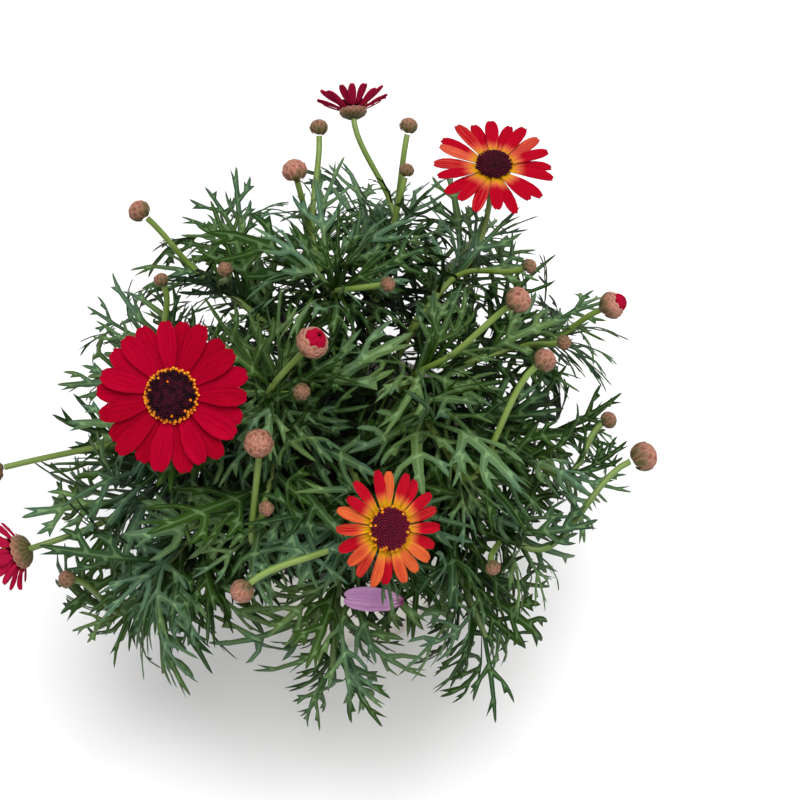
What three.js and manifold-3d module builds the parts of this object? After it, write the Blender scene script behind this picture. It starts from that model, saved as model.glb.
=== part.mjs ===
// A marguerite daisy in a plain round pot, in millimetres, +Z up, origin at the middle of the pot's underside.
// One short woody base stands in the soil and forks into thirteen arms. Each arm carries one leafy stem: a leader
// and a side shoot, with finely cut leaves, and the flower stalks that rise from them. The buds and blooms are
// separate pieces that sit on the stalks. Whatever touches keeps a gap of SEAT between the two solids.
import * as THREE from "three";
import { mergeVertices } from "three/addons/utils/BufferGeometryUtils.js";
import Module from "manifold-3d";

// Pot and soil
const POT_HEIGHT = 112;
const POT_FOOT_R = 47;
const POT_NECK_R = 61.5;
const POT_RIM_R = 65.8;
const POT_INNER_FOOT_R = 44.2;
const POT_INNER_TOP_R = 61.8;
const POT_FLOOR = 3;
const RIM_DEPTH = 16;
const DRAIN_R = 4;
const DRAIN_RING_R = 28;
const SOIL_TOP = 102;
const SEAT = 0.35;

// Woody base
const TRUNK_R = 7;
const TRUNK_FOOT_Z = 70;
const FORK_Z = 109;
const ARM_RING_R = 15;
const ARM_END_Z = 130;
const ARM_R = 2.9;

// Green stems and flower stalks
const STEM_BASE_R = 2.3;
const STEM_TIP_R = 1.3;
const STALK_R = 1.35;
const SIDE_SHOOT_AT = 0.45;

// Leaves
const LEAF_THICKNESS = 0.8;
const LEAVES_PER_SHOOT = 6;
const LEAF_TRIES = 14;
const ROOT_OUT = 0.7;
const LEAF_SAG = 0.8;
const YOUNG_AGE = 0.3;
const GOLDEN_ANGLE = 2.39996;
const MOUND_HEART = new THREE.Vector3(0, 0, 130);
const SEED = 20641;

// Each stem's tips: the leader's, then the side shoot's. Stems are listed anticlockwise, in the order of the arms.
const STEMS = [
  [[90, 18, 185], [104, 56, 152]],
  [[55, 50, 200], [66, 108, 158]],
  [[22, 80, 190], [6, 124, 158]],
  [[-15, 62, 205], [-2, 18, 222]],
  [[-62, 45, 195], [-60, 106, 158]],
  [[-98, 2, 180], [-106, 50, 148]],
  [[-66, -40, 200], [-98, -58, 158]],
  [[-28, -30, 212], [-35, -82, 185]],
  [[-96, -90, 128], [-76, -80, 156]],
  [[12, -78, 190], [-4, -118, 136]],
  [[80, -74, 160], [62, -104, 136]],
  [[98, -42, 168], [106, -6, 148]],
  [[40, -12, 210], [50, -58, 195]],
];

// Each head: its stem, the shoot (0 leader, 1 side) and how far along it the stalk leaves, where the head is,
// and its diameter. Blooms also say which way they face.
const BUDS = [
  { stem: 4, shoot: 0, from: 0.97, at: [-90, 58, 228], size: 10 },
  { stem: 3, shoot: 0, from: 0.98, at: [-21, 68, 243], size: 11 },
  { stem: 3, shoot: 0, from: 0.9, at: [-12, 104, 233], size: 8.4 },
  { stem: 2, shoot: 0, from: 0.9, at: [29, 108, 230], size: 8.4 },
  { stem: 7, shoot: 0, from: 0.97, at: [-9, -36, 258], face: [0.45, -0.1, 0.85], size: 12.7, open: true },
  { stem: 7, shoot: 0, from: 0.85, at: [-14, -44, 236], size: 7 },
  { stem: 7, shoot: 1, from: 0.97, at: [-29, -72, 242], face: [0.05, -0.4, 0.9], size: 11.3 },
  { stem: 12, shoot: 0, from: 0.97, at: [73, -5, 245], size: 11 },
  { stem: 12, shoot: 1, from: 0.97, at: [83, -30, 238], size: 9.6 },
  { stem: 0, shoot: 0, from: 0.97, at: [117, 18, 212], size: 12, open: true },
  { stem: 10, shoot: 0, from: 0.97, at: [129, -42, 184], size: 13 },
  { stem: 11, shoot: 0, from: 0.97, at: [116, -22, 182], size: 7.7 },
  { stem: 9, shoot: 0, from: 0.93, at: [-36, -116, 205], size: 9.6 },
  { stem: 8, shoot: 0, from: 0.97, at: [-116, -88, 160], size: 7.8 },
  { stem: 7, shoot: 1, from: 0.9, at: [-27, -88, 220], size: 6 },
  { stem: 10, shoot: 0, from: 0.85, at: [63, -94, 182], size: 6.4 },
  { stem: 0, shoot: 0, from: 0.85, at: [95, -2, 212], size: 6.4 },
  { stem: 1, shoot: 0, from: 0.85, at: [81, 30, 224], size: 6.4 },
  { stem: 3, shoot: 1, from: 0.95, at: [20, 4, 244], size: 6.4 },
  { stem: 4, shoot: 0, from: 0.85, at: [-49, 20, 234], size: 6.4 },
  { stem: 5, shoot: 0, from: 0.8, at: [-78, 24, 222], size: 6.4 },
  { stem: 2, shoot: 0, from: 0.8, at: [28, 86, 224], size: 7 },
  { stem: 6, shoot: 0, from: 0.8, at: [-151, -44, 176], size: 12 },
];
const BLOOMS = [
  { stem: 6, shoot: 0, from: 0.97, at: [-63, -52, 245], face: [-0.1, -0.53, 0.85], size: 61,
    disc: 21, petals: 22, width: 9.4, rise: 0.02, droop: 0.05 },
  { stem: 1, shoot: 0, from: 0.97, at: [67, 82, 230], face: [0.03, -0.02, 1], size: 56,
    disc: 16, petals: 20, width: 6.6, rise: 0.1, droop: 0.1 },
  { stem: 9, shoot: 0, from: 0.98, at: [20, -100, 226], face: [0.48, -0.5, 0.72], size: 46,
    disc: 17, petals: 20, width: 5.2, rise: 0.05, droop: 0.12 },
  { stem: 2, shoot: 0, from: 0.98, at: [3, 123, 226], face: [-0.08, 0.88, 0.46], size: 38,
    disc: 13, petals: 18, width: 4.4, rise: 0.6, droop: 0.05 },
  { stem: 6, shoot: 1, from: 0.85, at: [-137, -78, 165], face: [-0.9, -0.15, -0.3], size: 36,
    disc: 15, petals: 18, width: 4.6, rise: 0.7, droop: 0.05 },
];
// One faded petal has fallen on the front leaves.
const FALLEN = { at: [14, -101.5, 168], towards: [-1, 0.06, 0.02], face: [0.02, -0.45, 0.88], length: 25, width: 10 };

const COLOURS = {
  pot: 0xdcd8cf, soil: 0x2b1f17, wood: 0x6f5a41, leaf: 0x3c6b38, bud: 0x9a6a58,
  crimson: 0xb5062a, orange: 0xe0452c, pink: 0xc88cc0, disc: 0x3d0f22,
};

// A repeatable stream of numbers between 0 and 1 (the Lehmer generator).
let drawState = SEED;
function draw() {
  drawState = (drawState * 16807) % 2147483647;
  return drawState / 2147483647;
}

// Solids. Fused pieces lose the small facets that their crossing leaves behind, within SIMPLEST.
const SIMPLEST = 0.04;
const wasm = await Module();
wasm.setup();

function solidOf(geometry) {
  const bare = geometry.index ? geometry.toNonIndexed() : geometry.clone();
  bare.deleteAttribute("normal");
  bare.deleteAttribute("uv");
  const merged = mergeVertices(bare, 1e-4);
  return new wasm.Manifold(new wasm.Mesh({
    numProp: 3,
    vertProperties: merged.attributes.position.array,
    triVerts: new Uint32Array(merged.index.array),
  }));
}

function geometryOf(solid) {
  const mesh = solid.getMesh();
  const geometry = new THREE.BufferGeometry();
  geometry.setAttribute("position", new THREE.BufferAttribute(new Float32Array(mesh.vertProperties), 3));
  geometry.setIndex(new THREE.BufferAttribute(new Uint32Array(mesh.triVerts), 1));
  return geometry;
}

function fuse(geometries) {
  return geometryOf(wasm.Manifold.union(geometries.map(solidOf)).asOriginal().simplify(SIMPLEST));
}

function facets(points, triangles) {
  const geometry = new THREE.BufferGeometry().setFromPoints(points);
  geometry.setIndex(triangles.flat());
  return geometry;
}

// A closed skin over rings of points. Each ring turns anticlockwise as seen from the last ring.
function loft(rings) {
  const sides = rings[0].length;
  const triangles = [];
  for (let i = 0; i + 1 < rings.length; i++) {
    for (let j = 0; j < sides; j++) {
      const next = (j + 1) % sides;
      const [a, b] = [i * sides + j, i * sides + next];
      triangles.push([a, b, b + sides], [a, b + sides, a + sides]);
    }
  }
  const last = (rings.length - 1) * sides;
  for (let j = 1; j + 1 < sides; j++) {
    triangles.push([0, j + 1, j], [last, last + j, last + j + 1]);
  }
  return facets(rings.flat(), triangles);
}

// A thin plate: its corners are functions of w, which is 1 on its upper face and -1 on its under face.
function plate(corners, faces) {
  const n = corners.length;
  const edges = new Map();
  for (const [a, b, c] of faces) {
    for (const [from, to] of [[a, b], [b, c], [c, a]]) {
      if (!edges.delete(`${to},${from}`)) edges.set(`${from},${to}`, [from, to]);
    }
  }
  const walls = [...edges.values()].flatMap(([from, to]) => [[from, from + n, to + n], [from, to + n, to]]);
  const under = faces.map(([a, b, c]) => [a + n, c + n, b + n]);
  return facets([1, -1].flatMap((w) => corners.map((corner) => corner(w))), [...faces, ...under, ...walls]);
}

function tube(curve, startR, endR, steps, sides) {
  const frames = curve.computeFrenetFrames(steps, false);
  const rings = [];
  for (let i = 0; i <= steps; i++) {
    const centre = curve.getPointAt(i / steps);
    const r = startR + (endR - startR) * (i / steps);
    rings.push(Array.from({ length: sides }, (_, j) => {
      const turn = (2 * Math.PI * j) / sides;
      return centre.clone()
        .addScaledVector(frames.normals[i], r * Math.cos(turn))
        .addScaledVector(frames.binormals[i], r * Math.sin(turn));
    }));
  }
  return loft(rings);
}

// A round body with staggered bumps, for overlapping scales and packed florets. The profile is a list of
// [radius, height] along the axis.
function bumpyBody(profile, sides, bump, frame) {
  return loft(profile.map(([r, h], i) => Array.from({ length: sides }, (_, j) => {
    const turn = (2 * Math.PI * j) / sides;
    const raised = r * (1 + ((i + j) % 2 ? bump : -bump));
    return frame.centre.clone()
      .addScaledVector(frame.across, raised * Math.cos(turn))
      .addScaledVector(frame.along, raised * Math.sin(turn))
      .addScaledVector(frame.up, h);
  })));
}

// Two directions square to a third, with across x along = up.
function frameAt(centre, up) {
  const reference = Math.abs(up.z) > 0.9 ? new THREE.Vector3(1, 0, 0) : new THREE.Vector3(0, 0, 1);
  const along = new THREE.Vector3().crossVectors(up, reference).normalize();
  const across = new THREE.Vector3().crossVectors(along, up);
  return { centre, across, along, up };
}

// Pot: a lathe with four drain holes cut through its floor.
function potGeometry() {
  const profile = [
    [0, 0], [POT_FOOT_R - 1.2, 0], [POT_FOOT_R, 1.2], [POT_NECK_R, POT_HEIGHT - RIM_DEPTH],
    [POT_RIM_R, POT_HEIGHT - RIM_DEPTH + 1], [POT_RIM_R, POT_HEIGHT],
    [POT_INNER_TOP_R, POT_HEIGHT], [POT_INNER_FOOT_R, POT_FLOOR], [0, POT_FLOOR],
  ];
  const turned = new THREE.LatheGeometry(profile.map(([r, z]) => new THREE.Vector2(r, z)), 24);
  turned.rotateX(Math.PI / 2);
  let pot = solidOf(turned);
  for (let i = 0; i < 4; i++) {
    const drain = new THREE.CylinderGeometry(DRAIN_R, DRAIN_R, 4 * POT_FLOOR, 8);
    drain.rotateX(Math.PI / 2);
    const turn = Math.PI / 4 + (i * Math.PI) / 2;
    drain.translate(DRAIN_RING_R * Math.cos(turn), DRAIN_RING_R * Math.sin(turn), POT_FLOOR / 2);
    pot = pot.subtract(solidOf(drain));
  }
  return geometryOf(pot);
}

// Soil: fills the pot, lumpy on top, with a plain hole for the woody base.
function soilGeometry() {
  const innerR = (z) => POT_INNER_FOOT_R
    + ((POT_INNER_TOP_R - POT_INNER_FOOT_R) * (z - POT_FLOOR)) / (POT_HEIGHT - POT_FLOOR) - 0.9;
  const lump = (x, y) => 1.4 * Math.sin(0.21 * x + 0.7) * Math.cos(0.17 * y)
    + 0.9 * Math.sin(0.37 * x - 0.29 * y);
  const sides = 16;
  const ring = (r, z, lumpy) => Array.from({ length: sides }, (_, j) => {
    const turn = (2 * Math.PI * j) / sides;
    const [x, y] = [r * Math.cos(turn), r * Math.sin(turn)];
    return new THREE.Vector3(x, y, z + (lumpy ? lump(x, y) : 0));
  });
  const floor = POT_FLOOR + SEAT;
  const rings = [ring(innerR(floor), floor, false)];
  for (const r of [innerR(SOIL_TOP), 44, 28, 13]) {
    rings.push(ring(r, SOIL_TOP, true));
  }
  const hole = new THREE.CylinderGeometry(TRUNK_R + 1, TRUNK_R + 1, 80, 12);
  hole.rotateX(Math.PI / 2);
  hole.translate(0, 0, TRUNK_FOOT_Z - SEAT + 40);
  return geometryOf(solidOf(loft(rings)).subtract(solidOf(hole)));
}

// Green stems. A shoot's curve rises from its foot, then leans out and droops to its tip.
const vector = (point) => new THREE.Vector3(...point);

function arching(foot, tip) {
  const run = new THREE.Vector3().subVectors(tip, foot);
  const reach = Math.hypot(run.x, run.y);
  const knee = new THREE.Vector3(foot.x + 0.3 * run.x, foot.y + 0.3 * run.y, foot.z + 0.7 * run.z + 0.22 * reach);
  return new THREE.QuadraticBezierCurve3(foot, knee, tip);
}

const armEnds = STEMS.map((_, i) => {
  const turn = THREE.MathUtils.degToRad(12 + (360 * i) / STEMS.length);
  return new THREE.Vector3(ARM_RING_R * Math.cos(turn), ARM_RING_R * Math.sin(turn), ARM_END_Z);
});

const shoots = STEMS.map(([leaderTip, sideTip], i) => {
  const leader = arching(armEnds[i], vector(leaderTip));
  const side = arching(leader.getPoint(SIDE_SHOOT_AT), vector(sideTip));
  return [leader, side];
});

// A head's stalk, from its shoot to the underside of the bud or bloom. depth is the head's own depth below its place.
function stalkOf(head, depth) {
  const shoot = shoots[head.stem][head.shoot];
  const foot = shoot.getPoint(head.from);
  const leaves = shoot.getTangent(head.from);
  const place = vector(head.at);
  const run = place.distanceTo(foot);
  const face = head.face ? vector(head.face) : place.clone().sub(foot).addScaledVector(leaves, 0.3 * run);
  face.normalize();
  const end = place.clone().addScaledVector(face, -depth);
  const curve = new THREE.CubicBezierCurve3(
    foot, foot.clone().addScaledVector(leaves, 0.35 * run), end.clone().addScaledVector(face, -0.3 * run), end);
  return { curve, end, face, place };
}

// Space already taken: balls with an owner. Stems and leaves belong to their stem, heads to nobody.
const NOBODY = -1;
const OWN_SHARE = 0.6;
const taken = [];

function take(point, r, owner) {
  taken.push({ point, r, owner });
}

function takeCurve(curve, r, owner) {
  const steps = Math.ceil(curve.getLength() / 4);
  for (let i = 0; i <= steps; i++) {
    take(curve.getPoint(i / steps), r, owner);
  }
}

function takeBloom(bloom, stalk) {
  const frame = frameAt(stalk.place, stalk.face);
  for (const share of [0, 0.35, 0.65, 0.95]) {
    for (let i = 0; i < 12; i++) {
      const turn = (Math.PI * i) / 6;
      const r = (share * bloom.size) / 2;
      take(stalk.place.clone()
        .addScaledVector(frame.across, r * Math.cos(turn))
        .addScaledVector(frame.along, r * Math.sin(turn))
        .addScaledVector(frame.up, 0.5 * r * bloom.rise), 3, NOBODY);
    }
  }
  // No leaf stands before a bloom's face.
  for (const step of [0.35, 0.75, 1.2]) {
    take(stalk.place.clone().addScaledVector(stalk.face, step * bloom.size / 2), bloom.size * 0.3, NOBODY);
  }
}

// Points are clear when no ball of another owner is near. From its third point on, a leaf also keeps a smaller
// distance from its own stem and that stem's other leaves.
function isClear(points, r, owner) {
  return points.every((p, i) => {
    const besidePot = p.z < POT_HEIGHT + 4 && Math.hypot(p.x, p.y) < POT_RIM_R + 5;
    if (besidePot || p.z < 40) return false;
    return taken.every((ball) => {
      const near = (ball.r + r) * (ball.owner !== owner ? 1 : i < 3 ? 0 : OWN_SHARE);
      return ball.point.distanceToSquared(p) >= near ** 2;
    });
  });
}

// Leaves. A leaf has a narrow rib and one or two pairs of lobes, which lean forward and end in points. u runs along
// the rib and v across it, both as shares of the leaf's length. Each lobe grows from the rib between its own
// station and the next.
const YOUNG_LEAF = {
  rib: [[0, 0.03], [0.4, 0.032], [0.54, 0.036]],
  lobes: [{ station: 1, tip: [0.78, 0.23] }],
};
const GROWN_LEAF = {
  rib: [[0, 0.022], [0.3, 0.024], [0.4, 0.03], [0.59, 0.026], [0.67, 0.024]],
  lobes: [{ station: 1, tip: [0.62, 0.25] }, { station: 3, tip: [0.86, 0.19] }],
};
const STAGGER = 0.035;

function testPoints(leaf) {
  const rib = [0.2, 0.3, 0.4, 0.5, 0.6, 0.7, 0.8, 0.9, 1].map((u) => [u, 0]);
  const lobes = leaf.shape.lobes.flatMap(({ tip: [u, v] }) => [1, -1].flatMap((side) => [
    [u, side * v], [u - 0.1, side * v * 0.66], [u - 0.19, side * v * 0.36],
  ]));
  return [...rib, ...lobes].map(([u, v]) => leafPoint(leaf, u, v, 0));
}

// A point of a leaf that arches away from its upper side. w is the height above its middle surface, in mm.
function leafPoint(leaf, u, v, w) {
  const bend = leaf.curl * u;
  const radius = leaf.length / leaf.curl;
  const side = new THREE.Vector3().crossVectors(leaf.upper, leaf.heading);
  const normal = leaf.upper.clone().multiplyScalar(Math.cos(bend)).addScaledVector(leaf.heading, Math.sin(bend));
  return leaf.root.clone()
    .addScaledVector(leaf.heading, radius * Math.sin(bend))
    .addScaledVector(leaf.upper, -radius * (1 - Math.cos(bend)))
    .addScaledVector(side, v * leaf.length)
    .addScaledVector(normal, w - LEAF_SAG * v * v * leaf.length);
}

// A leaf at share t of a shoot, turned by its number round the shoot. age is 0 at the tip and 1 at the foot.
function drawLeaf(shoot, t, number, age) {
  const stem = shoot.getTangent(t);
  const root = shoot.getPoint(t);
  const level = new THREE.Vector3(stem.y, -stem.x, 0).normalize();
  const other = new THREE.Vector3().crossVectors(level, stem);
  const turn = number * GOLDEN_ANGLE + (draw() - 0.5) * 1.2;
  const pitch = 0.5 + 0.6 * age + (draw() - 0.5) * 0.5;
  const roll = (draw() - 0.5) * 1.4;
  const curl = 0.35 + 0.9 * draw();
  const length = (34 + 40 * age - 18 * age * age) * (0.85 + 0.35 * draw());
  const outward = root.clone().sub(MOUND_HEART).normalize();
  const heading = stem.clone().multiplyScalar(Math.cos(pitch))
    .addScaledVector(level, Math.sin(pitch) * Math.cos(turn))
    .addScaledVector(other, Math.sin(pitch) * Math.sin(turn))
    .addScaledVector(outward, 0.35)
    .normalize();
  const sideways = heading.clone().addScaledVector(stem, -heading.dot(stem)).normalize();
  root.addScaledVector(sideways, ROOT_OUT);
  const upper = outward.clone().addScaledVector(new THREE.Vector3(0, 0, 1), 0.6);
  upper.addScaledVector(heading, -upper.dot(heading)).normalize();
  upper.applyAxisAngle(heading, roll);
  const shape = age < YOUNG_AGE ? YOUNG_LEAF : GROWN_LEAF;
  return { root, heading, upper, curl, length, shape };
}

function leafGeometry(leaf) {
  const { shape } = leaf;
  const rib = shape.rib.flatMap(([u, v]) => [[u - STAGGER * (u > 0), v], [u + STAGGER * (u > 0), -v]]);
  const tip = rib.length;
  const lobeTips = shape.lobes.flatMap(({ tip: [u, v] }) => [[u - STAGGER, v], [u + STAGGER, -v]]);
  const outline = [...rib, [1, 0], ...lobeTips];
  const faces = [];
  for (let i = 0; i + 2 < tip; i += 2) {
    faces.push([i, i + 1, i + 3], [i, i + 3, i + 2]);
  }
  faces.push([tip - 2, tip - 1, tip]);
  shape.lobes.forEach(({ station }, k) => {
    const [left, right] = [2 * station, 2 * station + 1];
    faces.push([left, left + 2, tip + 1 + 2 * k], [right + 2, right, tip + 2 + 2 * k]);
  });
  const half = LEAF_THICKNESS / 2;
  return plate(outline.map(([u, v]) => (w) => leafPoint(leaf, u, v, w * half)), faces);
}

// Blooms. Petals stand in two layers, each one thin wheel cut into petals, joined by a core.
const PETAL_THICKNESS = 0.8;
const LAYER_STEP = 0.9;
const LAYER_RISE = 0.09;
const HUB_THICKNESS = PETAL_THICKNESS + LAYER_STEP;
const HUB_SHARE = 0.46;

// One layer of petals: the turns of its petals, in order, round a hub. Each petal has four corners, and between two
// petals the outline dips to the hub's edge.
function layerGeometry(bloom, frame, turns, level) {
  const hubR = bloom.disc * HUB_SHARE;
  const rise = bloom.rise + LAYER_RISE * level;
  const slant = Math.cos(Math.atan(rise));
  const place = (turn, r, s) => {
    const out = Math.max(0, r - hubR);
    const height = slant * (rise * out - (2 * bloom.droop * out ** 2) / bloom.size);
    return [
      r * Math.cos(turn) - s * Math.sin(turn), r * Math.sin(turn) + s * Math.cos(turn),
      PETAL_THICKNESS / 2 + LAYER_STEP * level + height,
    ];
  };
  const half = bloom.width / 2;
  const outline = turns.flatMap((turn, k) => {
    const next = k + 1 < turns.length ? turns[k + 1] : turns[0] + 2 * Math.PI;
    const reach = slant * ((bloom.size / 2) * (0.94 + 0.08 * draw()) - hubR);
    const [middle, tip] = [hubR + 0.5 * reach, hubR + reach];
    return [
      place(turn, middle, -half), place(turn, tip, -half / 2), place(turn, tip, half / 2), place(turn, middle, half),
      place((turn + next) / 2, hubR, 0),
    ];
  });
  const centre = outline.length;
  const faces = turns.flatMap((_, k) => {
    const first = 5 * k;
    const [before, after] = [(first + centre - 1) % centre, first + 4];
    return [
      [first, first + 1, first + 2], [first, first + 2, first + 3], [before, first, first + 3],
      [before, first + 3, after], [centre, before, after],
    ];
  });
  outline.push(place(0, 0, 0));
  return plate(outline.map(([x, y, z]) => (w) => frame.centre.clone()
    .addScaledVector(frame.across, x)
    .addScaledVector(frame.along, y)
    .addScaledVector(frame.up, z + (w * PETAL_THICKNESS) / 2)), faces);
}

function petalsGeometry(bloom, frame) {
  const spread = (2 * Math.PI) / bloom.petals;
  const turns = Array.from({ length: bloom.petals }, (_, k) => (k + (draw() - 0.5) * 0.25) * spread);
  const core = new THREE.CylinderGeometry(bloom.disc * 0.3, bloom.disc * 0.3, LAYER_STEP, 8);
  core.translate(0, HUB_THICKNESS / 2, 0);
  core.applyQuaternion(new THREE.Quaternion().setFromUnitVectors(new THREE.Vector3(0, 1, 0), frame.up));
  core.translate(frame.centre.x, frame.centre.y, frame.centre.z);
  const layers = [0, 1].map((level) => {
    return layerGeometry(bloom, frame, turns.filter((_, k) => k % 2 === level), level);
  });
  return fuse([core, ...layers]);
}

// The fallen petal: a thin trough, narrow at its base and notched at its tip.
function fallenGeometry(petal) {
  const along = vector(petal.towards).normalize();
  const up = vector(petal.face).addScaledVector(along, -along.dot(vector(petal.face))).normalize();
  const side = new THREE.Vector3().crossVectors(up, along);
  const corner = (u, v) => (w) => vector(petal.at)
    .addScaledVector(along, (u - 0.5) * petal.length)
    .addScaledVector(side, (v * petal.width) / 2)
    .addScaledVector(up, 1.6 * v * v - 2 * (2 * u - 1) ** 2 + (w * PETAL_THICKNESS) / 2);
  const widths = [[0, 0.35], [0.25, 0.85], [0.6, 1], [0.88, 0.8]];
  const rows = widths.flatMap(([u, v]) => [corner(u, -v), corner(u, 0), corner(u, v)]);
  const tips = [corner(1, -0.4), corner(0.93, 0), corner(1, 0.4)];
  const faces = widths.flatMap((_, i) => [0, 1].flatMap((j) => {
    const a = 3 * i + j;
    return [[a, a + 3, a + 1], [a + 1, a + 3, a + 4]];
  }));
  return plate([...rows, ...tips], faces);
}

function discGeometry(bloom, frame) {
  const r = bloom.disc / 2;
  const seat = { ...frame, centre: frame.centre.clone().addScaledVector(frame.up, HUB_THICKNESS + SEAT) };
  return bumpyBody([[0.8 * r, 0], [0.96 * r, 0.22 * r], [0.72 * r, 0.36 * r], [0.3 * r, 0.42 * r]], 10, 0.04, seat);
}

// The green cup of scales under a bloom, fused to its stalk.
function cupGeometry(bloom, stalk, depth) {
  const r = bloom.disc / 2;
  const profile = [[0.26 * r, 0], [0.72 * r, 0.3 * depth], [0.94 * r, 0.72 * depth], [0.86 * r, depth]];
  return bumpyBody(profile, 10, 0.035, frameAt(stalk.end, stalk.face));
}

function budGeometry(bud, stalk) {
  const r = bud.size / 2;
  const large = bud.size > 8;
  const frame = frameAt(stalk.place, stalk.face);
  if (bud.open) {
    return bumpyBody([[0.4, -0.88], [0.92, -0.42], [1, 0.1], [0.8, 0.55]].map(([a, b]) => [a * r, b * r]), 8, 0.05, frame);
  }
  const profile = large
    ? [[0.4, -0.85], [0.97, -0.25], [0.88, 0.42], [0.3, 0.82]]
    : [[0.4, -0.85], [1, -0.1], [0.45, 0.75]];
  return bumpyBody(profile.map(([a, b]) => [a * r, b * r]), 8, 0.05, frame);
}

function openTipGeometry(bud, stalk) {
  const r = bud.size / 2;
  const base = 0.55 * r + SEAT;
  const profile = [[0.6 * r, base], [0.58 * r, base + 0.25 * r], [0.22 * r, base + 0.5 * r]];
  return bumpyBody(profile, 8, 0.08, frameAt(stalk.place, stalk.face));
}

// Everything stands in its place before the leaves grow round it.
const CUP_DEPTH = 0.32;
const budStalks = BUDS.map((bud) => stalkOf(bud, 0.425 * bud.size + SEAT));
const bloomStalks = BLOOMS.map((bloom) => stalkOf(bloom, CUP_DEPTH * bloom.disc + SEAT));
shoots.forEach((pair, i) => pair.forEach((curve) => takeCurve(curve, 2.6, i)));
BUDS.forEach((bud, i) => {
  takeCurve(budStalks[i].curve, 2.2, bud.stem);
  take(budStalks[i].place, bud.size / 2 + 1.2, NOBODY);
});
BLOOMS.forEach((bloom, i) => {
  takeCurve(bloomStalks[i].curve, 2.2, bloom.stem);
  takeBloom(bloom, bloomStalks[i]);
});
for (const share of [-0.4, -0.2, 0, 0.2, 0.4]) {
  take(vector(FALLEN.at).addScaledVector(vector(FALLEN.towards), share * FALLEN.length), FALLEN.width / 2, NOBODY);
}

const leaves = STEMS.map(() => []);
for (let step = 0; step < LEAVES_PER_SHOOT; step++) {
  for (let i = 0; i < STEMS.length; i++) {
    for (const shoot of [0, 1]) {
      const age = step / (LEAVES_PER_SHOOT - 1);
      const t = 0.99 - 0.62 * age ** 1.15;
      for (let attempt = 0; attempt < LEAF_TRIES; attempt++) {
        const leaf = drawLeaf(shoots[i][shoot], t, step * 2 + shoot + i, age);
        const points = testPoints(leaf);
        if (isClear(points, 2.9, i)) {
          leaves[i].push(leaf);
          points.forEach((p) => take(p, 2.9, i));
          break;
        }
      }
    }
  }
}

function stemGeometry(i) {
  const [leader, side] = shoots[i];
  const foot = leader.getPoint(0).addScaledVector(leader.getTangent(0), SEAT);
  const raised = new THREE.QuadraticBezierCurve3(foot, leader.v1, leader.v2);
  const pieces = [tube(raised, STEM_BASE_R, STEM_TIP_R, 6, 5), tube(side, 1.9, STEM_TIP_R, 5, 5)];
  BUDS.forEach((bud, k) => {
    if (bud.stem === i) pieces.push(tube(budStalks[k].curve, STALK_R, STALK_R, 3, 4));
  });
  BLOOMS.forEach((bloom, k) => {
    if (bloom.stem !== i) return;
    pieces.push(tube(bloomStalks[k].curve, STALK_R, STALK_R, 4, 5));
    pieces.push(cupGeometry(bloom, bloomStalks[k], CUP_DEPTH * bloom.disc));
  });
  return fuse([...pieces, ...leaves[i].map(leafGeometry)]);
}

function woodGeometry() {
  const trunk = new THREE.LineCurve3(new THREE.Vector3(0, 0, TRUNK_FOOT_Z), new THREE.Vector3(0, 0, FORK_Z + 4));
  const arms = armEnds.map((end, i) => {
    const away = shoots[i][0].getTangent(0);
    const start = new THREE.Vector3(end.x * 0.12, end.y * 0.12, FORK_Z);
    const knee = end.clone().addScaledVector(away, -0.5 * end.distanceTo(start));
    return tube(new THREE.QuadraticBezierCurve3(start, knee, end), 3.6, ARM_R, 2, 5);
  });
  return fuse([tube(trunk, TRUNK_R * 0.8, TRUNK_R, 3, 8), ...arms]);
}

// Nodes
const plant = new THREE.Group();

function addNode(name, geometry, colour, roughness) {
  const material = new THREE.MeshStandardMaterial({ color: colour, roughness, metalness: 0 });
  const mesh = new THREE.Mesh(geometry, material);
  mesh.name = name;
  plant.add(mesh);
}

const twoDigits = (i) => String(i + 1).padStart(2, "0");
addNode("pot", potGeometry(), COLOURS.pot, 0.6);
addNode("soil", soilGeometry(), COLOURS.soil, 1);
addNode("woody_base", woodGeometry(), COLOURS.wood, 0.9);
STEMS.forEach((_, i) => addNode(`leafy_stem_${twoDigits(i)}`, stemGeometry(i), COLOURS.leaf, 0.7));
BUDS.forEach((bud, i) => {
  addNode(`bud_${twoDigits(i)}`, budGeometry(bud, budStalks[i]), COLOURS.bud, 0.8);
  if (bud.open) addNode(`bud_${twoDigits(i)}_tip`, openTipGeometry(bud, budStalks[i]), COLOURS.crimson, 0.6);
});
const petalColours = [COLOURS.crimson, COLOURS.orange, COLOURS.orange, COLOURS.crimson, COLOURS.crimson];
BLOOMS.forEach((bloom, i) => {
  const frame = frameAt(bloomStalks[i].place, bloomStalks[i].face);
  addNode(`bloom_${twoDigits(i)}_petals`, petalsGeometry(bloom, frame), petalColours[i], 0.6);
  addNode(`bloom_${twoDigits(i)}_disc`, discGeometry(bloom, frame), COLOURS.disc, 0.9);
});
addNode("fallen_petal", fallenGeometry(FALLEN), COLOURS.pink, 0.6);

export default plant;
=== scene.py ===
# %% [markdown]
# # A potted marguerite daisy
#
# This lesson dresses a plain solid model of a potted plant. The solid model holds the pot, the soil, the
# stems and a coarse version of every bud and bloom, and of some of the leaves. Here each of them gets its
# real form and finish. Blender works in metres, but plants are easier to think about in millimetres, so the
# sizes of the plant and its pot are written in millimetres and multiplied by MM.

# %% Load the solid model
import math
import bmesh
import bpy
import numpy as np
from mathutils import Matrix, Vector, noise


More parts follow.
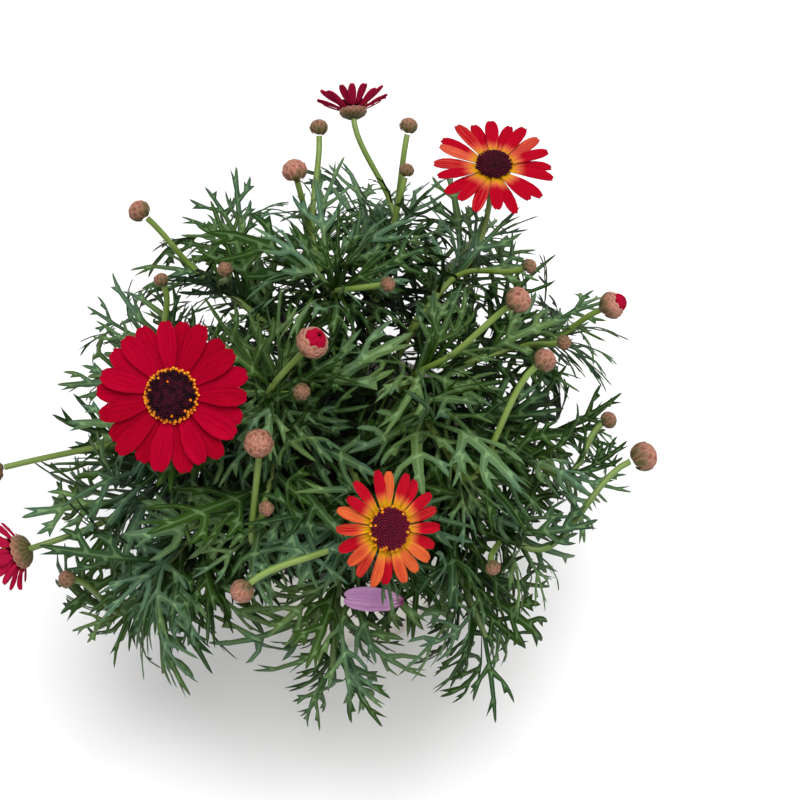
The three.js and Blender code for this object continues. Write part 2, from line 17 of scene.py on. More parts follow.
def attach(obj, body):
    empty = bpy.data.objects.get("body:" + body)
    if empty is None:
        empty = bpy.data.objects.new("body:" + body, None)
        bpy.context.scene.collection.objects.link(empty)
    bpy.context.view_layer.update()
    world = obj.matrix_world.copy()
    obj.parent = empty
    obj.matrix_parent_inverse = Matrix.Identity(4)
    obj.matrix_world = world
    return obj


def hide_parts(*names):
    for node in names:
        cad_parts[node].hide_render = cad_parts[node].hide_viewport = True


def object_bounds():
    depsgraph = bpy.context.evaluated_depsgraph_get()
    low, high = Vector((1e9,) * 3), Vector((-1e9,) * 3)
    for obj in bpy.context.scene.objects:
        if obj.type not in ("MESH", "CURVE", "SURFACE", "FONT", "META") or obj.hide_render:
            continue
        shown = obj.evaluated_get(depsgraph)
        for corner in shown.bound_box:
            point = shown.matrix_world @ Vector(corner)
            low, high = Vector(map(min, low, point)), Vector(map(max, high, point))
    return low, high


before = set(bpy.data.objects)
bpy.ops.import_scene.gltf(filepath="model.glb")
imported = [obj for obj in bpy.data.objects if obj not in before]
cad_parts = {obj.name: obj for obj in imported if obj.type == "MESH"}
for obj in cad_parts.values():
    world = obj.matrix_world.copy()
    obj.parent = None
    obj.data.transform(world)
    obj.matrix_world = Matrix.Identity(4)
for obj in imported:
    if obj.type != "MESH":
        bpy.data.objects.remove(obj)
solid_low, solid_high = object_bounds()
bpy.ops.object.select_all(action="DESELECT")
MM = 0.001
print("solid nodes:", len(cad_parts), "box in mm:", [round(v / MM) for v in solid_high - solid_low])

# %% [markdown]
# ## Camera
#
# The photo looks down on the plant at 56 degrees from about 65 cm. A lens of 64 mm gives it the same frame.

# %% Camera
CAMERA_PLACE = Vector((25, -363.5, 703.9)) * MM
CAMERA_TARGET = Vector((25, 0, 165)) * MM
LENS_MM, SENSOR_MM = 64.29, 36


def aim(thing, place, target):
    thing.rotation_euler = (Vector(target) - Vector(place)).to_track_quat("-Z", "Y").to_euler()


bpy.ops.object.camera_add(location=CAMERA_PLACE)
camera = bpy.context.object
camera.name = "photo_camera"
aim(camera, CAMERA_PLACE, CAMERA_TARGET)
camera.data.lens = LENS_MM
camera.data.sensor_width = SENSOR_MM
bpy.context.scene.camera = camera
print("camera distance in mm:", round((CAMERA_TARGET - CAMERA_PLACE).length / MM))

# %% [markdown]
# ## Light and floor
#
# A plant photographed for a catalogue stands in a white tent: light comes from all round, and most of it
# from above. A pale world gives the light from all round. Large area lights give the rest, with soft edges
# to the shade between the leaves. The places and sizes of the lights are in metres, and their power is in
# watts.

# %% Light and floor
LIGHTS = [
    dict(name="key_light", place=(0.1, -0.12, 1.6), target=(0, 0, 0.15), size=0.9, power=22.5),
    dict(name="fill_light", place=(0.5, -1.1, 1.0), target=(0, 0, 0.15), size=1.0, power=3),
    dict(name="back_light", place=(0.5, 1.1, 0.9), target=(0, 0, 0.2), size=0.8, power=1),
]
TENT_WHITE, TENT_STRENGTH = (0.97, 0.98, 0.98, 1), 0.55
FLOOR_SIZE_M = 8

bpy.ops.mesh.primitive_plane_add(size=FLOOR_SIZE_M)
floor = bpy.context.object
floor.name = "floor"
for plan in LIGHTS:
    bpy.ops.object.light_add(type="AREA", location=plan["place"])
    light = bpy.context.object
    light.name = plan["name"]
    light.data.size = plan["size"]
    light.data.energy = plan["power"]
    aim(light, plan["place"], plan["target"])
world = bpy.data.worlds.new("white_tent")
bpy.context.scene.world = world
world.use_nodes = True
world.node_tree.nodes["Background"].inputs["Color"].default_value = TENT_WHITE
world.node_tree.nodes["Background"].inputs["Strength"].default_value = TENT_STRENGTH
bpy.context.scene.view_settings.view_transform = "Standard"
print("lights:", len(LIGHTS))

# %% [markdown]
# ## Small tools for materials
#
# Each finish is a tree of nodes. A few short functions keep the trees readable: one adds a node, one mixes
# two colours, one does a sum, and one turns a range of values into a soft step. `wash` is what finishes use
# most: it lays one colour over another where a mask is high, as a painter does with thinned paint.

# %% Small tools for materials
def plug(tree, socket, value):
    if isinstance(value, bpy.types.NodeSocket):
        tree.links.new(value, socket)
    else:
        socket.default_value = value


def add_node(tree, kind, values, **settings):
    node = tree.nodes.new(kind)
    for name, setting in settings.items():
        setattr(node, name, setting)
    for socket, value in values.items():
        plug(tree, node.inputs[socket], value)
    return node


def mix_colours(tree, share, first, second, blend="MIX"):
    values = {0: share, 6: first, 7: second}
    return add_node(tree, "ShaderNodeMix", values, data_type="RGBA", blend_type=blend).outputs[2]


def work_out(tree, operation, first, second=0.0):
    return add_node(tree, "ShaderNodeMath", {0: first, 1: second}, operation=operation).outputs[0]


def times(tree, first, second):
    return work_out(tree, "MULTIPLY", first, second)


def wash(tree, colour, mask, strength, over, blend="MIX"):
    return mix_colours(tree, times(tree, mask, strength), colour, over, blend)


def soft_step(tree, value, start, end, low=0.0, high=1.0):
    values = {0: value, 1: start, 2: end, 3: low, 4: high}
    return add_node(tree, "ShaderNodeMapRange", values, interpolation_type="SMOOTHSTEP").outputs[0]


# %% Colours, maps and values
def rgb(*screen_values):
    """A colour as seen on a screen, 0 to 255, as the light that Blender works with."""
    light = []
    for value in screen_values:
        share = value / 255
        light.append(share / 12.92 if value < 10 else ((share + 0.055) / 1.055) ** 2.4)
    return (*light, 1.0)


def read_coordinates(tree, kind):
    return add_node(tree, "ShaderNodeTexCoord", {}).outputs[kind]


def split(tree, vector):
    return add_node(tree, "ShaderNodeSeparateXYZ", {0: vector}).outputs


def read_value(tree, name):
    return add_node(tree, "ShaderNodeAttribute", {}, attribute_name=name).outputs["Fac"]


# %% [markdown]
# ## Two effects that many finishes share
#
# Living tissue is never one even colour, and its fibres run lengthwise. So two effects come back again and
# again. *Uneven tone* is a soft blotch with a fine grain over it, read from the place on the object.
# *Lengthwise streaks* follow a piece's own map, so that they run along each petal or leaf however it is
# turned. Each is built once as a node group and used with other values in each material.

# %% Uneven tone
def new_group(name, inputs, outputs):
    tree = bpy.data.node_groups.new(name, "ShaderNodeTree")
    for label, kind in inputs:
        tree.interface.new_socket(label, in_out="INPUT", socket_type=kind)
    for label in outputs:
        tree.interface.new_socket(label, in_out="OUTPUT", socket_type="NodeSocketFloat")
    return tree, tree.nodes.new("NodeGroupInput").outputs, tree.nodes.new("NodeGroupOutput").inputs


def add_noise(tree, place, scale, detail):
    values = {"Vector": place, "Scale": scale, "Detail": detail}
    return add_node(tree, "ShaderNodeTexNoise", values).outputs[0]


tone_group, given, result = new_group(
    "uneven_tone", [("Blotches Per Metre", "NodeSocketFloat"), ("Grain Per Metre", "NodeSocketFloat")],
    ["Blotch", "Grain"])
place = read_coordinates(tone_group, "Object")
plug(tone_group, result[0], soft_step(tone_group, add_noise(tone_group, place, given[0], 2.0), 0.35, 0.65))
plug(tone_group, result[1], soft_step(tone_group, add_noise(tone_group, place, given[1], 3.0), 0.3, 0.7))

# %% Lengthwise streaks
FINE_LINES_PER_STREAK, PIECE_SHIFT = 3.2, 37.0
streak_group, given, result = new_group(
    "lengthwise_streaks", [("Map", "NodeSocketVector"), ("Streaks Across", "NodeSocketFloat"),
                           ("Breaks Along", "NodeSocketFloat"), ("Piece", "NodeSocketFloat")],
    ["Streak", "Fine Line"])
along, across, _ = split(streak_group, given[0])
stretched = {0: times(streak_group, along, given[2]), 1: times(streak_group, across, given[1]),
             2: times(streak_group, given[3], PIECE_SHIFT)}
place = add_node(streak_group, "ShaderNodeCombineXYZ", stretched).outputs[0]
wide = add_noise(streak_group, place, 1.0, 2.0)
fine = add_noise(streak_group, place, FINE_LINES_PER_STREAK, 3.0)
plug(streak_group, result[0], soft_step(streak_group, wide, 0.36, 0.64))
plug(streak_group, result[1], soft_step(streak_group, fine, 0.35, 0.65))


# %% Using the two effects
def use_group(tree, group, values):
    node = tree.nodes.new("ShaderNodeGroup")
    node.node_tree = group
    for socket, value in values.items():
        plug(tree, node.inputs[socket], value)
    return node.outputs


def uneven_tone(tree, blotches, grain=900.0):
    """The masks of the blotches and of the grain, each with that many to a metre."""
    return use_group(tree, tone_group, {"Blotches Per Metre": blotches, "Grain Per Metre": grain})


def streaks_along(tree, across, breaks, piece=0.0):
    """The masks of the wide streaks and of the fine lines. Each value of piece gives other streaks."""
    own_map = read_coordinates(tree, "UV")
    values = {"Map": own_map, "Streaks Across": across, "Breaks Along": breaks, "Piece": piece}
    return use_group(tree, streak_group, values)


# %% New materials
def new_material(name, **shader_values):
    material = bpy.data.materials.new(name)
    material.use_nodes = True
    shader = material.node_tree.nodes["Principled BSDF"]
    for socket, value in shader_values.items():
        shader.inputs[socket.replace("_", " ")].default_value = value
    return material, material.node_tree, shader


def finish_surface(tree, shader, colour, roughness, height, depth_mm):
    """Feeds the shader its colour and roughness, and a relief of that depth."""
    plug(tree, shader.inputs["Base Color"], colour)
    plug(tree, shader.inputs["Roughness"], roughness)
    bump = add_node(tree, "ShaderNodeBump", {"Strength": 1.0, "Distance": depth_mm * MM, "Height": height})
    plug(tree, shader.inputs["Normal"], bump.outputs[0])
    print("a finish of", len(tree.nodes), "nodes")


# %% [markdown]
# ## Leaf green
#
# A marguerite's leaf is matt and a little fleshy. Deep inside the plant the leaves are painted nearly
# black-green, as painted shade. In the light a leaf is yellow-green in some patches and has a blue-grey
# bloom in others, and the leaves most in the light are painted a lighter green, as painted light. A pale
# line along every rib is a painted highlight. The leaf's map gives how far along the leaf a point is and
# how near to a rib, so the pale line needs no picture. `tint` goes from 0 deep inside the plant to 1 in the
# light, and each leaf is a little above or below its neighbours.

# %% Leaf green
leaf_green, tree, shader = new_material("leaf_green", Specular_IOR_Level=0.08)
in_light = read_value(tree, "tint")
tone = uneven_tone(tree, 140.0, 1800.0)
fine_lines = streaks_along(tree, 5.0, 14.0)[1]
patch = uneven_tone(tree, 26.0)[0]
fresh = mix_colours(tree, patch, rgb(30, 58, 20), rgb(46, 76, 12))
bloom_and_painted_light = mix_colours(tree, patch, rgb(88, 122, 98), rgb(106, 134, 76))
# Painted shade: leaves deep inside the plant go nearly black. Painted light: the leaves most in the light get
# a lighter green, which is partly the leaf's blue-grey bloom.
colour = mix_colours(tree, soft_step(tree, in_light, 0.05, 0.65), rgb(5, 15, 1), fresh)
colour = mix_colours(tree, soft_step(tree, in_light, 0.5, 1.0), colour, bloom_and_painted_light)
colour = wash(tree, colour, tone[0], 0.2, rgb(34, 62, 12))
colour = wash(tree, colour, fine_lines, 0.3, rgb(26, 46, 18))
near_rib = split(tree, read_coordinates(tree, "UV"))[1]
# Painted highlight: a pale line along each rib, only where the leaf is in the light.
painted_rib_highlight = times(tree, soft_step(tree, near_rib, 0.6, 1.0), in_light)
colour = wash(tree, colour, painted_rib_highlight, 0.5, rgb(132, 164, 112))
height = work_out(tree, "ADD", times(tree, tone[1], 0.5), fine_lines)
finish_surface(tree, shader, colour, soft_step(tree, tone[0], 0.0, 1.0, 0.5, 0.66), height, 0.12)

# %% [markdown]
# ## Stalk green
#
# Young stalks are yellow-green with fine ribs, and brighter than the leaves. The ribs are in the shape, so
# the finish adds only a greyer green in patches, a slightly waxy gloss, and a darker green low down, where
# `tint` is high.

# %% Stalk green
stalk_green, tree, shader = new_material("stalk_green", Specular_IOR_Level=0.5)
tone = uneven_tone(tree, 45.0, 1500.0)
colour = mix_colours(tree, tone[0], rgb(92, 116, 30), rgb(114, 138, 60))
colour = wash(tree, colour, read_value(tree, "tint"), 0.8, rgb(46, 72, 26))
colour = wash(tree, colour, tone[1], 0.25, rgb(130, 152, 90))
finish_surface(tree, shader, colour, soft_step(tree, tone[1], 0.0, 1.0, 0.38, 0.55), tone[1], 0.06)

# %% [markdown]
# ## Bud scales
#
# The scales of a bud are dry and papery at the edge and brown in the middle. The scale's map runs from its
# foot (0) to its tip (1) and across from edge to edge, so the pale edge follows each scale's outline.
# `tint` says how high on the bud the scale sits and how ripe the bud is: green near the stalk, pink-brown
# over the top.

# %% Bud scales
bud_scales, tree, shader = new_material("bud_scales", Specular_IOR_Level=0.4)
ripeness = read_value(tree, "tint")
streaks = streaks_along(tree, 7.0, 2.0, ripeness)
tone = uneven_tone(tree, 260.0, 2500.0)
body = mix_colours(tree, streaks[0], rgb(88, 42, 28), rgb(148, 84, 64))
body = wash(tree, body, tone[0], 0.5, rgb(178, 118, 98))
body = mix_colours(tree, soft_step(tree, ripeness, 0.6, 0.1), body, rgb(72, 72, 28))
along, across, _ = split(tree, read_coordinates(tree, "UV"))
from_middle = times(tree, work_out(tree, "ABSOLUTE", work_out(tree, "SUBTRACT", across, 0.5)), 2.0)
to_edge = work_out(tree, "MAXIMUM", from_middle, work_out(tree, "POWER", along, 2.0))
edge_share = times(tree, soft_step(tree, to_edge, 0.3, 1.05), soft_step(tree, ripeness, 0.1, 0.7, 0.25, 0.62))
colour = mix_colours(tree, edge_share, body, rgb(210, 154, 130))
finish_surface(tree, shader, colour, 0.6, work_out(tree, "ADD", streaks[1], tone[1]), 0.08)

# %% [markdown]
# ## Petals
#
# A petal has fine veins along its length and a velvety surface of tiny cells, so it looks soft and deep in
# colour. The map runs from the petal's foot (0) to its tip (1) and across it. The crimson petals are nearly
# even. The orange ones start golden yellow at the foot, pass through orange and end red, and `tint` says
# how much of each petal is red. `under` is 1 on the back of a petal, which is paler and shows its veins
# more.

# %% Velvet of the petals
VEIN_REDNESS, FOOT_FADE, BACK_SHARE = 0.42, 0.32, 0.75


def petal_material(name, foot, middle, tip, dark, foot_end, red_share):
    """foot_end: where the foot's colour ends. red_share: the most of the tip's colour that a petal has."""
    material, tree, shader = new_material(name, Specular_IOR_Level=0.02, Sheen_Weight=0.02,
                                          Sheen_Roughness=0.4, Sheen_Tint=rgb(255, 120, 130))
    along = split(tree, read_coordinates(tree, "UV"))[0]
    tint = read_value(tree, "tint")
    veins = streaks_along(tree, 9.0, 1.1, tint)
    grain = uneven_tone(tree, 150.0, 3500.0)[1]
    redness = times(tree, soft_step(tree, tint, 0.15, 0.75), red_share)
    redness = work_out(tree, "ADD", redness, times(tree, veins[0], VEIN_REDNESS))
    redness = times(tree, redness, soft_step(tree, along, foot_end, foot_end + FOOT_FADE))
    colour = mix_colours(tree, work_out(tree, "MINIMUM", redness, 1.0), middle, tip)
    ragged_along = work_out(tree, "ADD", along, times(tree, veins[0], 0.1))
    colour = mix_colours(tree, soft_step(tree, ragged_along, foot_end + 0.2, foot_end - 0.05), colour, foot)
    colour = wash(tree, colour, veins[1], 0.35, dark, "MULTIPLY")
    back = wash(tree, rgb(186, 30, 72), veins[1], 0.5, rgb(130, 6, 40))
    colour = wash(tree, colour, read_value(tree, "under"), BACK_SHARE, back)
    height = work_out(tree, "ADD", veins[0], times(tree, grain, 0.3))
    finish_surface(tree, shader, colour, soft_step(tree, grain, 0.0, 1.0, 0.5, 0.68), height, 0.16)
    return material


crimson_velvet = petal_material(
    "crimson_velvet", rgb(122, 0, 22), rgb(164, 0, 38), rgb(148, 0, 28), rgb(150, 100, 110), 0.0, 0.7)
orange_velvet = petal_material(
    "orange_velvet", rgb(204, 154, 14), rgb(208, 96, 68), rgb(164, 4, 30), rgb(180, 100, 96), 0.18, 1.05)
golden_velvet = petal_material(
    "golden_velvet", rgb(204, 156, 14), rgb(214, 108, 56), rgb(172, 12, 34), rgb(196, 126, 104), 0.26, 1.0)
faded_velvet = petal_material(
    "faded_velvet", rgb(116, 14, 78), rgb(216, 182, 212), rgb(194, 140, 190), rgb(206, 156, 200), 0.08, 0.7)

# %% [markdown]
# ## Florets of the disc
#
# The dark middle of a daisy is a few hundred tiny flowers packed in spirals. Most are closed and nearly
# black maroon. At the rim of the newest bloom they have opened and show golden pollen. `tint` is 1 on an
# open one, and up to 0.2 on the redder closed ones of the orange blooms.

# %% Florets of the disc
disc_florets, tree, shader = new_material("disc_florets", Specular_IOR_Level=0.12)
tone = uneven_tone(tree, 500.0, 3000.0)
openness = read_value(tree, "tint")
closed = mix_colours(tree, tone[0], rgb(22, 2, 10), rgb(62, 8, 28))
closed = mix_colours(tree, soft_step(tree, openness, 0.0, 0.2, 0.0, 0.8), closed, rgb(104, 12, 40))
opened = mix_colours(tree, tone[0], rgb(196, 96, 14), rgb(228, 158, 40))
colour = mix_colours(tree, soft_step(tree, openness, 0.3, 0.7), closed, opened)
finish_surface(tree, shader, colour, 0.7, tone[1], 0.06)

# %% [markdown]
# ## Pot, potting mix, bark and floor
#
# The pot is thin moulded plastic: an even satin with a faint grain and some dust and dried soil low down
# and on the rim. Potting mix is nearly black with fibres and lighter crumbs. The old wood at the foot of
# the plant is grey-brown. The floor is plain, matt and pale.

# %% Pot
pot_plastic, tree, shader = new_material("pot_plastic", Specular_IOR_Level=0.45)
tone = uneven_tone(tree, 28.0, 2200.0)
height_up = split(tree, read_coordinates(tree, "Object"))[2]
foot_dirt = times(tree, soft_step(tree, height_up, 0.035, 0.0), tone[0])
rim_dirt = times(tree, soft_step(tree, height_up, 0.105, 0.112), tone[0])
dirt = work_out(tree, "MAXIMUM", foot_dirt, times(tree, rim_dirt, 0.6))
colour = wash(tree, rgb(222, 218, 208), tone[1], 0.3, rgb(204, 198, 186))
colour = wash(tree, colour, dirt, 0.4, rgb(140, 118, 92))
finish_surface(tree, shader, colour, soft_step(tree, tone[0], 0.0, 1.0, 0.42, 0.55), tone[1], 0.05)

# %% Potting mix, bark and floor
potting_mix, tree, shader = new_material("potting_mix", Specular_IOR_Level=0.2)
tone = uneven_tone(tree, 190.0, 900.0)
colour = mix_colours(tree, tone[0], rgb(34, 24, 18), rgb(66, 48, 34))
colour = wash(tree, colour, tone[1], 0.5, rgb(96, 74, 54))
finish_surface(tree, shader, colour, 0.95, work_out(tree, "ADD", tone[0], tone[1]), 0.9)

bark, tree, shader = new_material("bark", Specular_IOR_Level=0.25)
tone = uneven_tone(tree, 160.0, 1400.0)
colour = mix_colours(tree, tone[0], rgb(92, 74, 52), rgb(136, 122, 96))
colour = wash(tree, colour, tone[1], 0.5, rgb(58, 44, 32))
finish_surface(tree, shader, colour, 0.85, tone[1], 0.5)

floor_white, _, _ = new_material("floor_white", Base_Color=(0.9, 0.9, 0.9, 1), Roughness=0.9)
floor.data.materials.append(floor_white)

# %% [markdown]
# ## Modelling tools
#
# Pieces are modelled as by hand: a primitive, then edit mode. With no mouse, vertices are selected by a
# rule about their place. A ring or a cap is drawn up through a list of steps, as on a lathe. `finish_piece`
# names a finished piece, gives it its finish, ties it to the plant and hides the solid parts it stands for.

# %% Selecting in edit mode
def edit(piece, select_mode="VERT"):
    bpy.context.view_layer.objects.active = piece
    bpy.ops.object.mode_set(mode="EDIT")
    bpy.ops.mesh.select_mode(type=select_mode)
    bpy.ops.mesh.select_all(action="DESELECT")


def select_vertices(piece, rule):
    """Selects the vertices whose place in mm passes the rule, and the edges and faces between them."""
    bpy.ops.mesh.select_all(action="DESELECT")
    shape = bmesh.from_edit_mesh(piece.data)
    for vertex in shape.verts:
        vertex.select = bool(rule(vertex.co / MM))
    shape.select_flush(True)
    bmesh.update_edit_mesh(piece.data)


def select_upper_faces(piece):
    bpy.ops.mesh.select_all(action="DESELECT")
    shape = bmesh.from_edit_mesh(piece.data)
    for face in shape.faces:
        face.select = face.normal.z > 0.9
    bmesh.update_edit_mesh(piece.data)


def selected_places(piece):
    shape = bmesh.from_edit_mesh(piece.data)
    return np.array([vertex.co / MM for vertex in shape.verts if vertex.select])


# %% Shaping in edit mode
def extrude(move):
    bpy.ops.mesh.extrude_region_move(TRANSFORM_OT_translate={"value": Vector(move) * MM})


def shift_selected(move):
    bpy.ops.transform.translate(value=Vector(move) * MM)


def scale_about(centre, factors):
    bpy.ops.transform.resize(value=factors, center_override=Vector(centre) * MM)


def draw_up(radius, steps):
    """Draws the selected ring or cap round the Z axis through steps of (rise, next radius)."""
    for rise, next_radius in steps:
        extrude((0, 0, rise))
        scale_about((0, 0, 0), (next_radius / radius, next_radius / radius, 1))
        radius = next_radius


def face_outwards():
    bpy.ops.mesh.select_all(action="SELECT")
    bpy.ops.mesh.normals_make_consistent(inside=False)


def leave_edit_mode():
    bpy.ops.object.mode_set(mode="OBJECT")


# %% Finishing a piece
def apply_place():
    """Writes the piece's place, turn and size into its mesh."""
    bpy.ops.object.transform_apply(location=True, rotation=True, scale=True)


def pick(piece):
    bpy.ops.object.select_all(action="DESELECT")
    piece.select_set(True)
    bpy.context.view_layer.objects.active = piece


def apply_modifier(piece, kind, **settings):
    pick(piece)
    modifier = piece.modifiers.new(kind.title(), kind)
    for name, setting in settings.items():
        setattr(modifier, name, setting)
    bpy.ops.object.modifier_apply(modifier=modifier.name)


def finish_piece(piece, name, material, stands_for=(), smooth_angle=50):
    pick(piece)
    apply_place()
    bpy.ops.object.shade_smooth_by_angle(angle=math.radians(smooth_angle))
    piece.name = name
    piece.data.name = name
    piece.data.materials.clear()
    piece.data.materials.append(material)
    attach(piece, "root")
    if stands_for:
        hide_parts(*stands_for)
    piece.select_set(False)
    print(name, "has", len(piece.data.polygons), "faces")


# %% [markdown]
# ## The pot
#
# A nursery pot is one thin wall: a slow cone, a step out to the rim, and a wall that turns back inside. A
# cylinder at the foot's size is drawn up and out through those steps by extruding its top face, which keeps
# the wall even. The drain holes are cut by four pegs, and a small bevel gives the rim its moulded edges.

# %% The pot
POT_HEIGHT, POT_FLOOR, RIM_DEPTH = 112, 3, 16
FOOT_R, NECK_R, RIM_R, INNER_FOOT_R, INNER_TOP_R = 47, 61.5, 65.8, 44.2, 61.8
DRAIN_HOLES, DRAIN_RING_R, DRAIN_R = 4, 28, 4
NECK_Z = POT_HEIGHT - RIM_DEPTH
bpy.ops.mesh.primitive_cylinder_add(vertices=96, radius=FOOT_R * MM, depth=NECK_Z * MM,
                                    location=(0, 0, NECK_Z / 2 * MM))
pot = bpy.context.object
apply_place()
edit(pot, "FACE")
select_upper_faces(pot)
scale_about((0, 0, NECK_Z), (NECK_R / FOOT_R, NECK_R / FOOT_R, 1))
draw_up(NECK_R, [(1, RIM_R), (7, RIM_R - 0.25), (8, RIM_R), (0, INNER_TOP_R),
                 (POT_FLOOR + 1 - POT_HEIGHT, INNER_FOOT_R + 1), (-1, INNER_FOOT_R)])
leave_edit_mode()
for hole in range(DRAIN_HOLES):
    turn = math.radians(45 + 90 * hole)
    peg_place = (DRAIN_RING_R * math.cos(turn) * MM, DRAIN_RING_R * math.sin(turn) * MM, 0)
    bpy.ops.mesh.primitive_cylinder_add(vertices=32, radius=DRAIN_R * MM, depth=20 * MM, location=peg_place)
    peg = bpy.context.object
    apply_modifier(pot, "BOOLEAN", operation="DIFFERENCE", object=peg)
    bpy.data.objects.remove(peg)
apply_modifier(pot, "BEVEL", width=0.5 * MM, segments=2, limit_method="ANGLE", angle_limit=math.radians(40))
finish_piece(pot, "nursery_pot", pot_plastic, ["pot"], 35)

# %% [markdown]
# ## The potting mix
#
# The mix fills the pot to a finger's width below the rim. Its skin is drawn from a circle: up the wall,
# then inwards in narrow rings, and down the hole where the plant stands. The rings are then moved up and
# down by a smooth wave and a fine noise, as the surface of real mix is, and crumbs are strewn over it.

# %% The skin of the mix
SOIL_TOP, SOIL_GAP, WALL_GAP = 102, 0.35, 0.9
PLANT_HOLE_R, PLANT_HOLE_FLOOR = 8, 69.65
OUTER_RING_R, RING_COUNT = 57, 24


def pot_inner_radius(z):
    return INNER_FOOT_R + (INNER_TOP_R - INNER_FOOT_R) * (z - POT_FLOOR) / (POT_HEIGHT - POT_FLOOR)


soil_foot = POT_FLOOR + SOIL_GAP
foot_radius = pot_inner_radius(soil_foot) - WALL_GAP
bpy.ops.mesh.primitive_circle_add(vertices=96, radius=foot_radius * MM, fill_type="NGON",
                                  location=(0, 0, soil_foot * MM))
soil = bpy.context.object
apply_place()
edit(soil, "EDGE")
bpy.ops.mesh.select_all(action="SELECT")
bpy.ops.mesh.flip_normals()
bpy.ops.mesh.region_to_loop()
wall = [(SOIL_TOP - soil_foot, pot_inner_radius(SOIL_TOP) - WALL_GAP)]
top_rings = [(0, radius) for radius in np.linspace(OUTER_RING_R, PLANT_HOLE_R, RING_COUNT)]
draw_up(foot_radius, wall + top_rings + [(PLANT_HOLE_FLOOR - SOIL_TOP, PLANT_HOLE_R)])
bpy.ops.mesh.edge_face_add()
face_outwards()
leave_edit_mode()


# %% The waves of the mix
def soil_height(x, y):
    lump = 1.4 * np.sin(0.21 * x + 0.7) * np.cos(0.17 * y) + 0.9 * np.sin(0.37 * x - 0.29 * y)
    return SOIL_TOP + lump


for vertex in soil.data.vertices:
    x, y, z = vertex.co / MM
    if z > SOIL_TOP - 1:
        rough = 1.1 * noise.noise(Vector((x, y, 3)) * 0.35) + 0.5 * noise.noise(Vector((x, y, 9)) * 1.1)
        vertex.co.z = (soil_height(x, y) + rough) * MM
finish_piece(soil, "potting_mix", potting_mix, ["soil"], 60)

# %% [markdown]
# ## Shapes that are copied
#
# A leaf, a petal or a floret is modelled once, and then set out many times, each time bent and turned in
# its own way. `Shape` holds what was modelled: the places of its vertices, its faces and its map. `set_out`
# joins many bent copies into one mesh of its own, with a `tint` for each copy or each of its vertices.

# %% Shapes that are copied
class Shape:
    """A modelled shape in mm. map: two shares for each vertex. back: 1 on a thickened blade's underside."""

    def __init__(self, piece, make_map):
        mesh = piece.data
        self.points = np.array([vertex.co for vertex in mesh.vertices]) / MM
        self.faces = [tuple(face.vertices) for face in mesh.polygons]
        self.map = np.array([make_map(point) for point in self.points])
        half = len(self.points) // 2
        first_is_top = self.points[:half, 2].mean() > self.points[half:, 2].mean()
        self.back = ((np.arange(len(self.points)) >= half) == first_is_top).astype(float)
        bpy.data.objects.remove(piece)

    def mirrored(self):
        other = object.__new__(Shape)
        other.points = self.points * (1, -1, 1)
        other.faces = [face[::-1] for face in self.faces]
        other.map = self.map
        return other


def write_value(mesh, name, values):
    """Gives each vertex a number that a finish can read by its name."""
    mesh.attributes.new(name, "FLOAT", "POINT").data.foreach_set("value", values.astype(np.float32))


def set_out(copies):
    """copies: for each one its shape, its places in mm, its tint, and its `under` values or None."""
    first = 0
    faces = []
    for shape, _, _, _ in copies:
        faces += [tuple(corner + first for corner in face) for face in shape.faces]
        first += len(shape.points)
    mesh = bpy.data.meshes.new("copies")
    mesh.from_pydata(np.concatenate([places for _, places, _, _ in copies]) * MM, [], faces)
    corners = np.zeros(len(mesh.loops), int)
    mesh.loops.foreach_get("vertex_index", corners)
    shares = np.concatenate([shape.map for shape, _, _, _ in copies])
    mesh.uv_layers.new(name="map").data.foreach_set("uv", shares[corners].astype(np.float32).ravel())
    tints = [np.full(len(shape.points), tint) for shape, _, tint, _ in copies]
    write_value(mesh, "tint", np.concatenate(tints))
    if copies[0][3] is not None:
        write_value(mesh, "under", np.concatenate([under for _, _, _, under in copies]))
    piece = bpy.data.objects.new("copies", mesh)
    bpy.context.collection.objects.link(piece)
    return piece


# %% [markdown]
# ## Crumbs on the mix
#
# A crumb is a twenty-sided ball pushed out of true. Three hundred of them, flattened and turned at random,
# lie half sunk in the surface, so the mix doesn't read as one skin.

# %% Crumbs on the mix
CRUMB_COUNT, CRUMBS_FROM_R, CRUMBS_TO_R = 300, 9, 56
CRUMB_FORM = np.array((1, 0.8, 0.6))


def random_rotation(chance):
    """A random turn, as three directions square to each other."""
    turns, _ = np.linalg.qr(chance.normal(size=(3, 3)))
    return turns * np.sign(np.linalg.det(turns))


bpy.ops.mesh.primitive_ico_sphere_add(subdivisions=1, radius=1 * MM)
bpy.ops.object.mode_set(mode="EDIT")
bpy.ops.transform.vertex_random(offset=0.25 * MM, seed=4)
leave_edit_mode()
crumb = Shape(bpy.context.object, lambda point: (0, 0))
chance = np.random.default_rng(11)
crumbs = []
while len(crumbs) < CRUMB_COUNT:
    x, y = chance.uniform(-CRUMBS_TO_R, CRUMBS_TO_R, 2)
    if CRUMBS_FROM_R < math.hypot(x, y) < CRUMBS_TO_R:
        size = chance.uniform(0.6, 2.2) * CRUMB_FORM
        places = (crumb.points * size) @ random_rotation(chance).T + (x, y, soil_height(x, y) + 0.2)
        crumbs.append((crumb, places, 0, None))
finish_piece(set_out(crumbs), "soil_crumbs", potting_mix, (), 20)

# %% [markdown]
# ## The plant's own rule
#
# The solid model grows by a rule: thirteen arms, a leader and a side shoot on each, a stalk for each head,
# and leaves turned by the golden angle and kept clear of each other by repeatable draws of chance. The same
# rule with the same numbers is repeated here, so each finely cut leaf grows exactly where the solid one
# does.

# %% Curves
X_AXIS, Z_AXIS = np.array((1.0, 0, 0)), np.array((0, 0, 1.0))


def unit(vector):
    return vector / np.linalg.norm(vector)


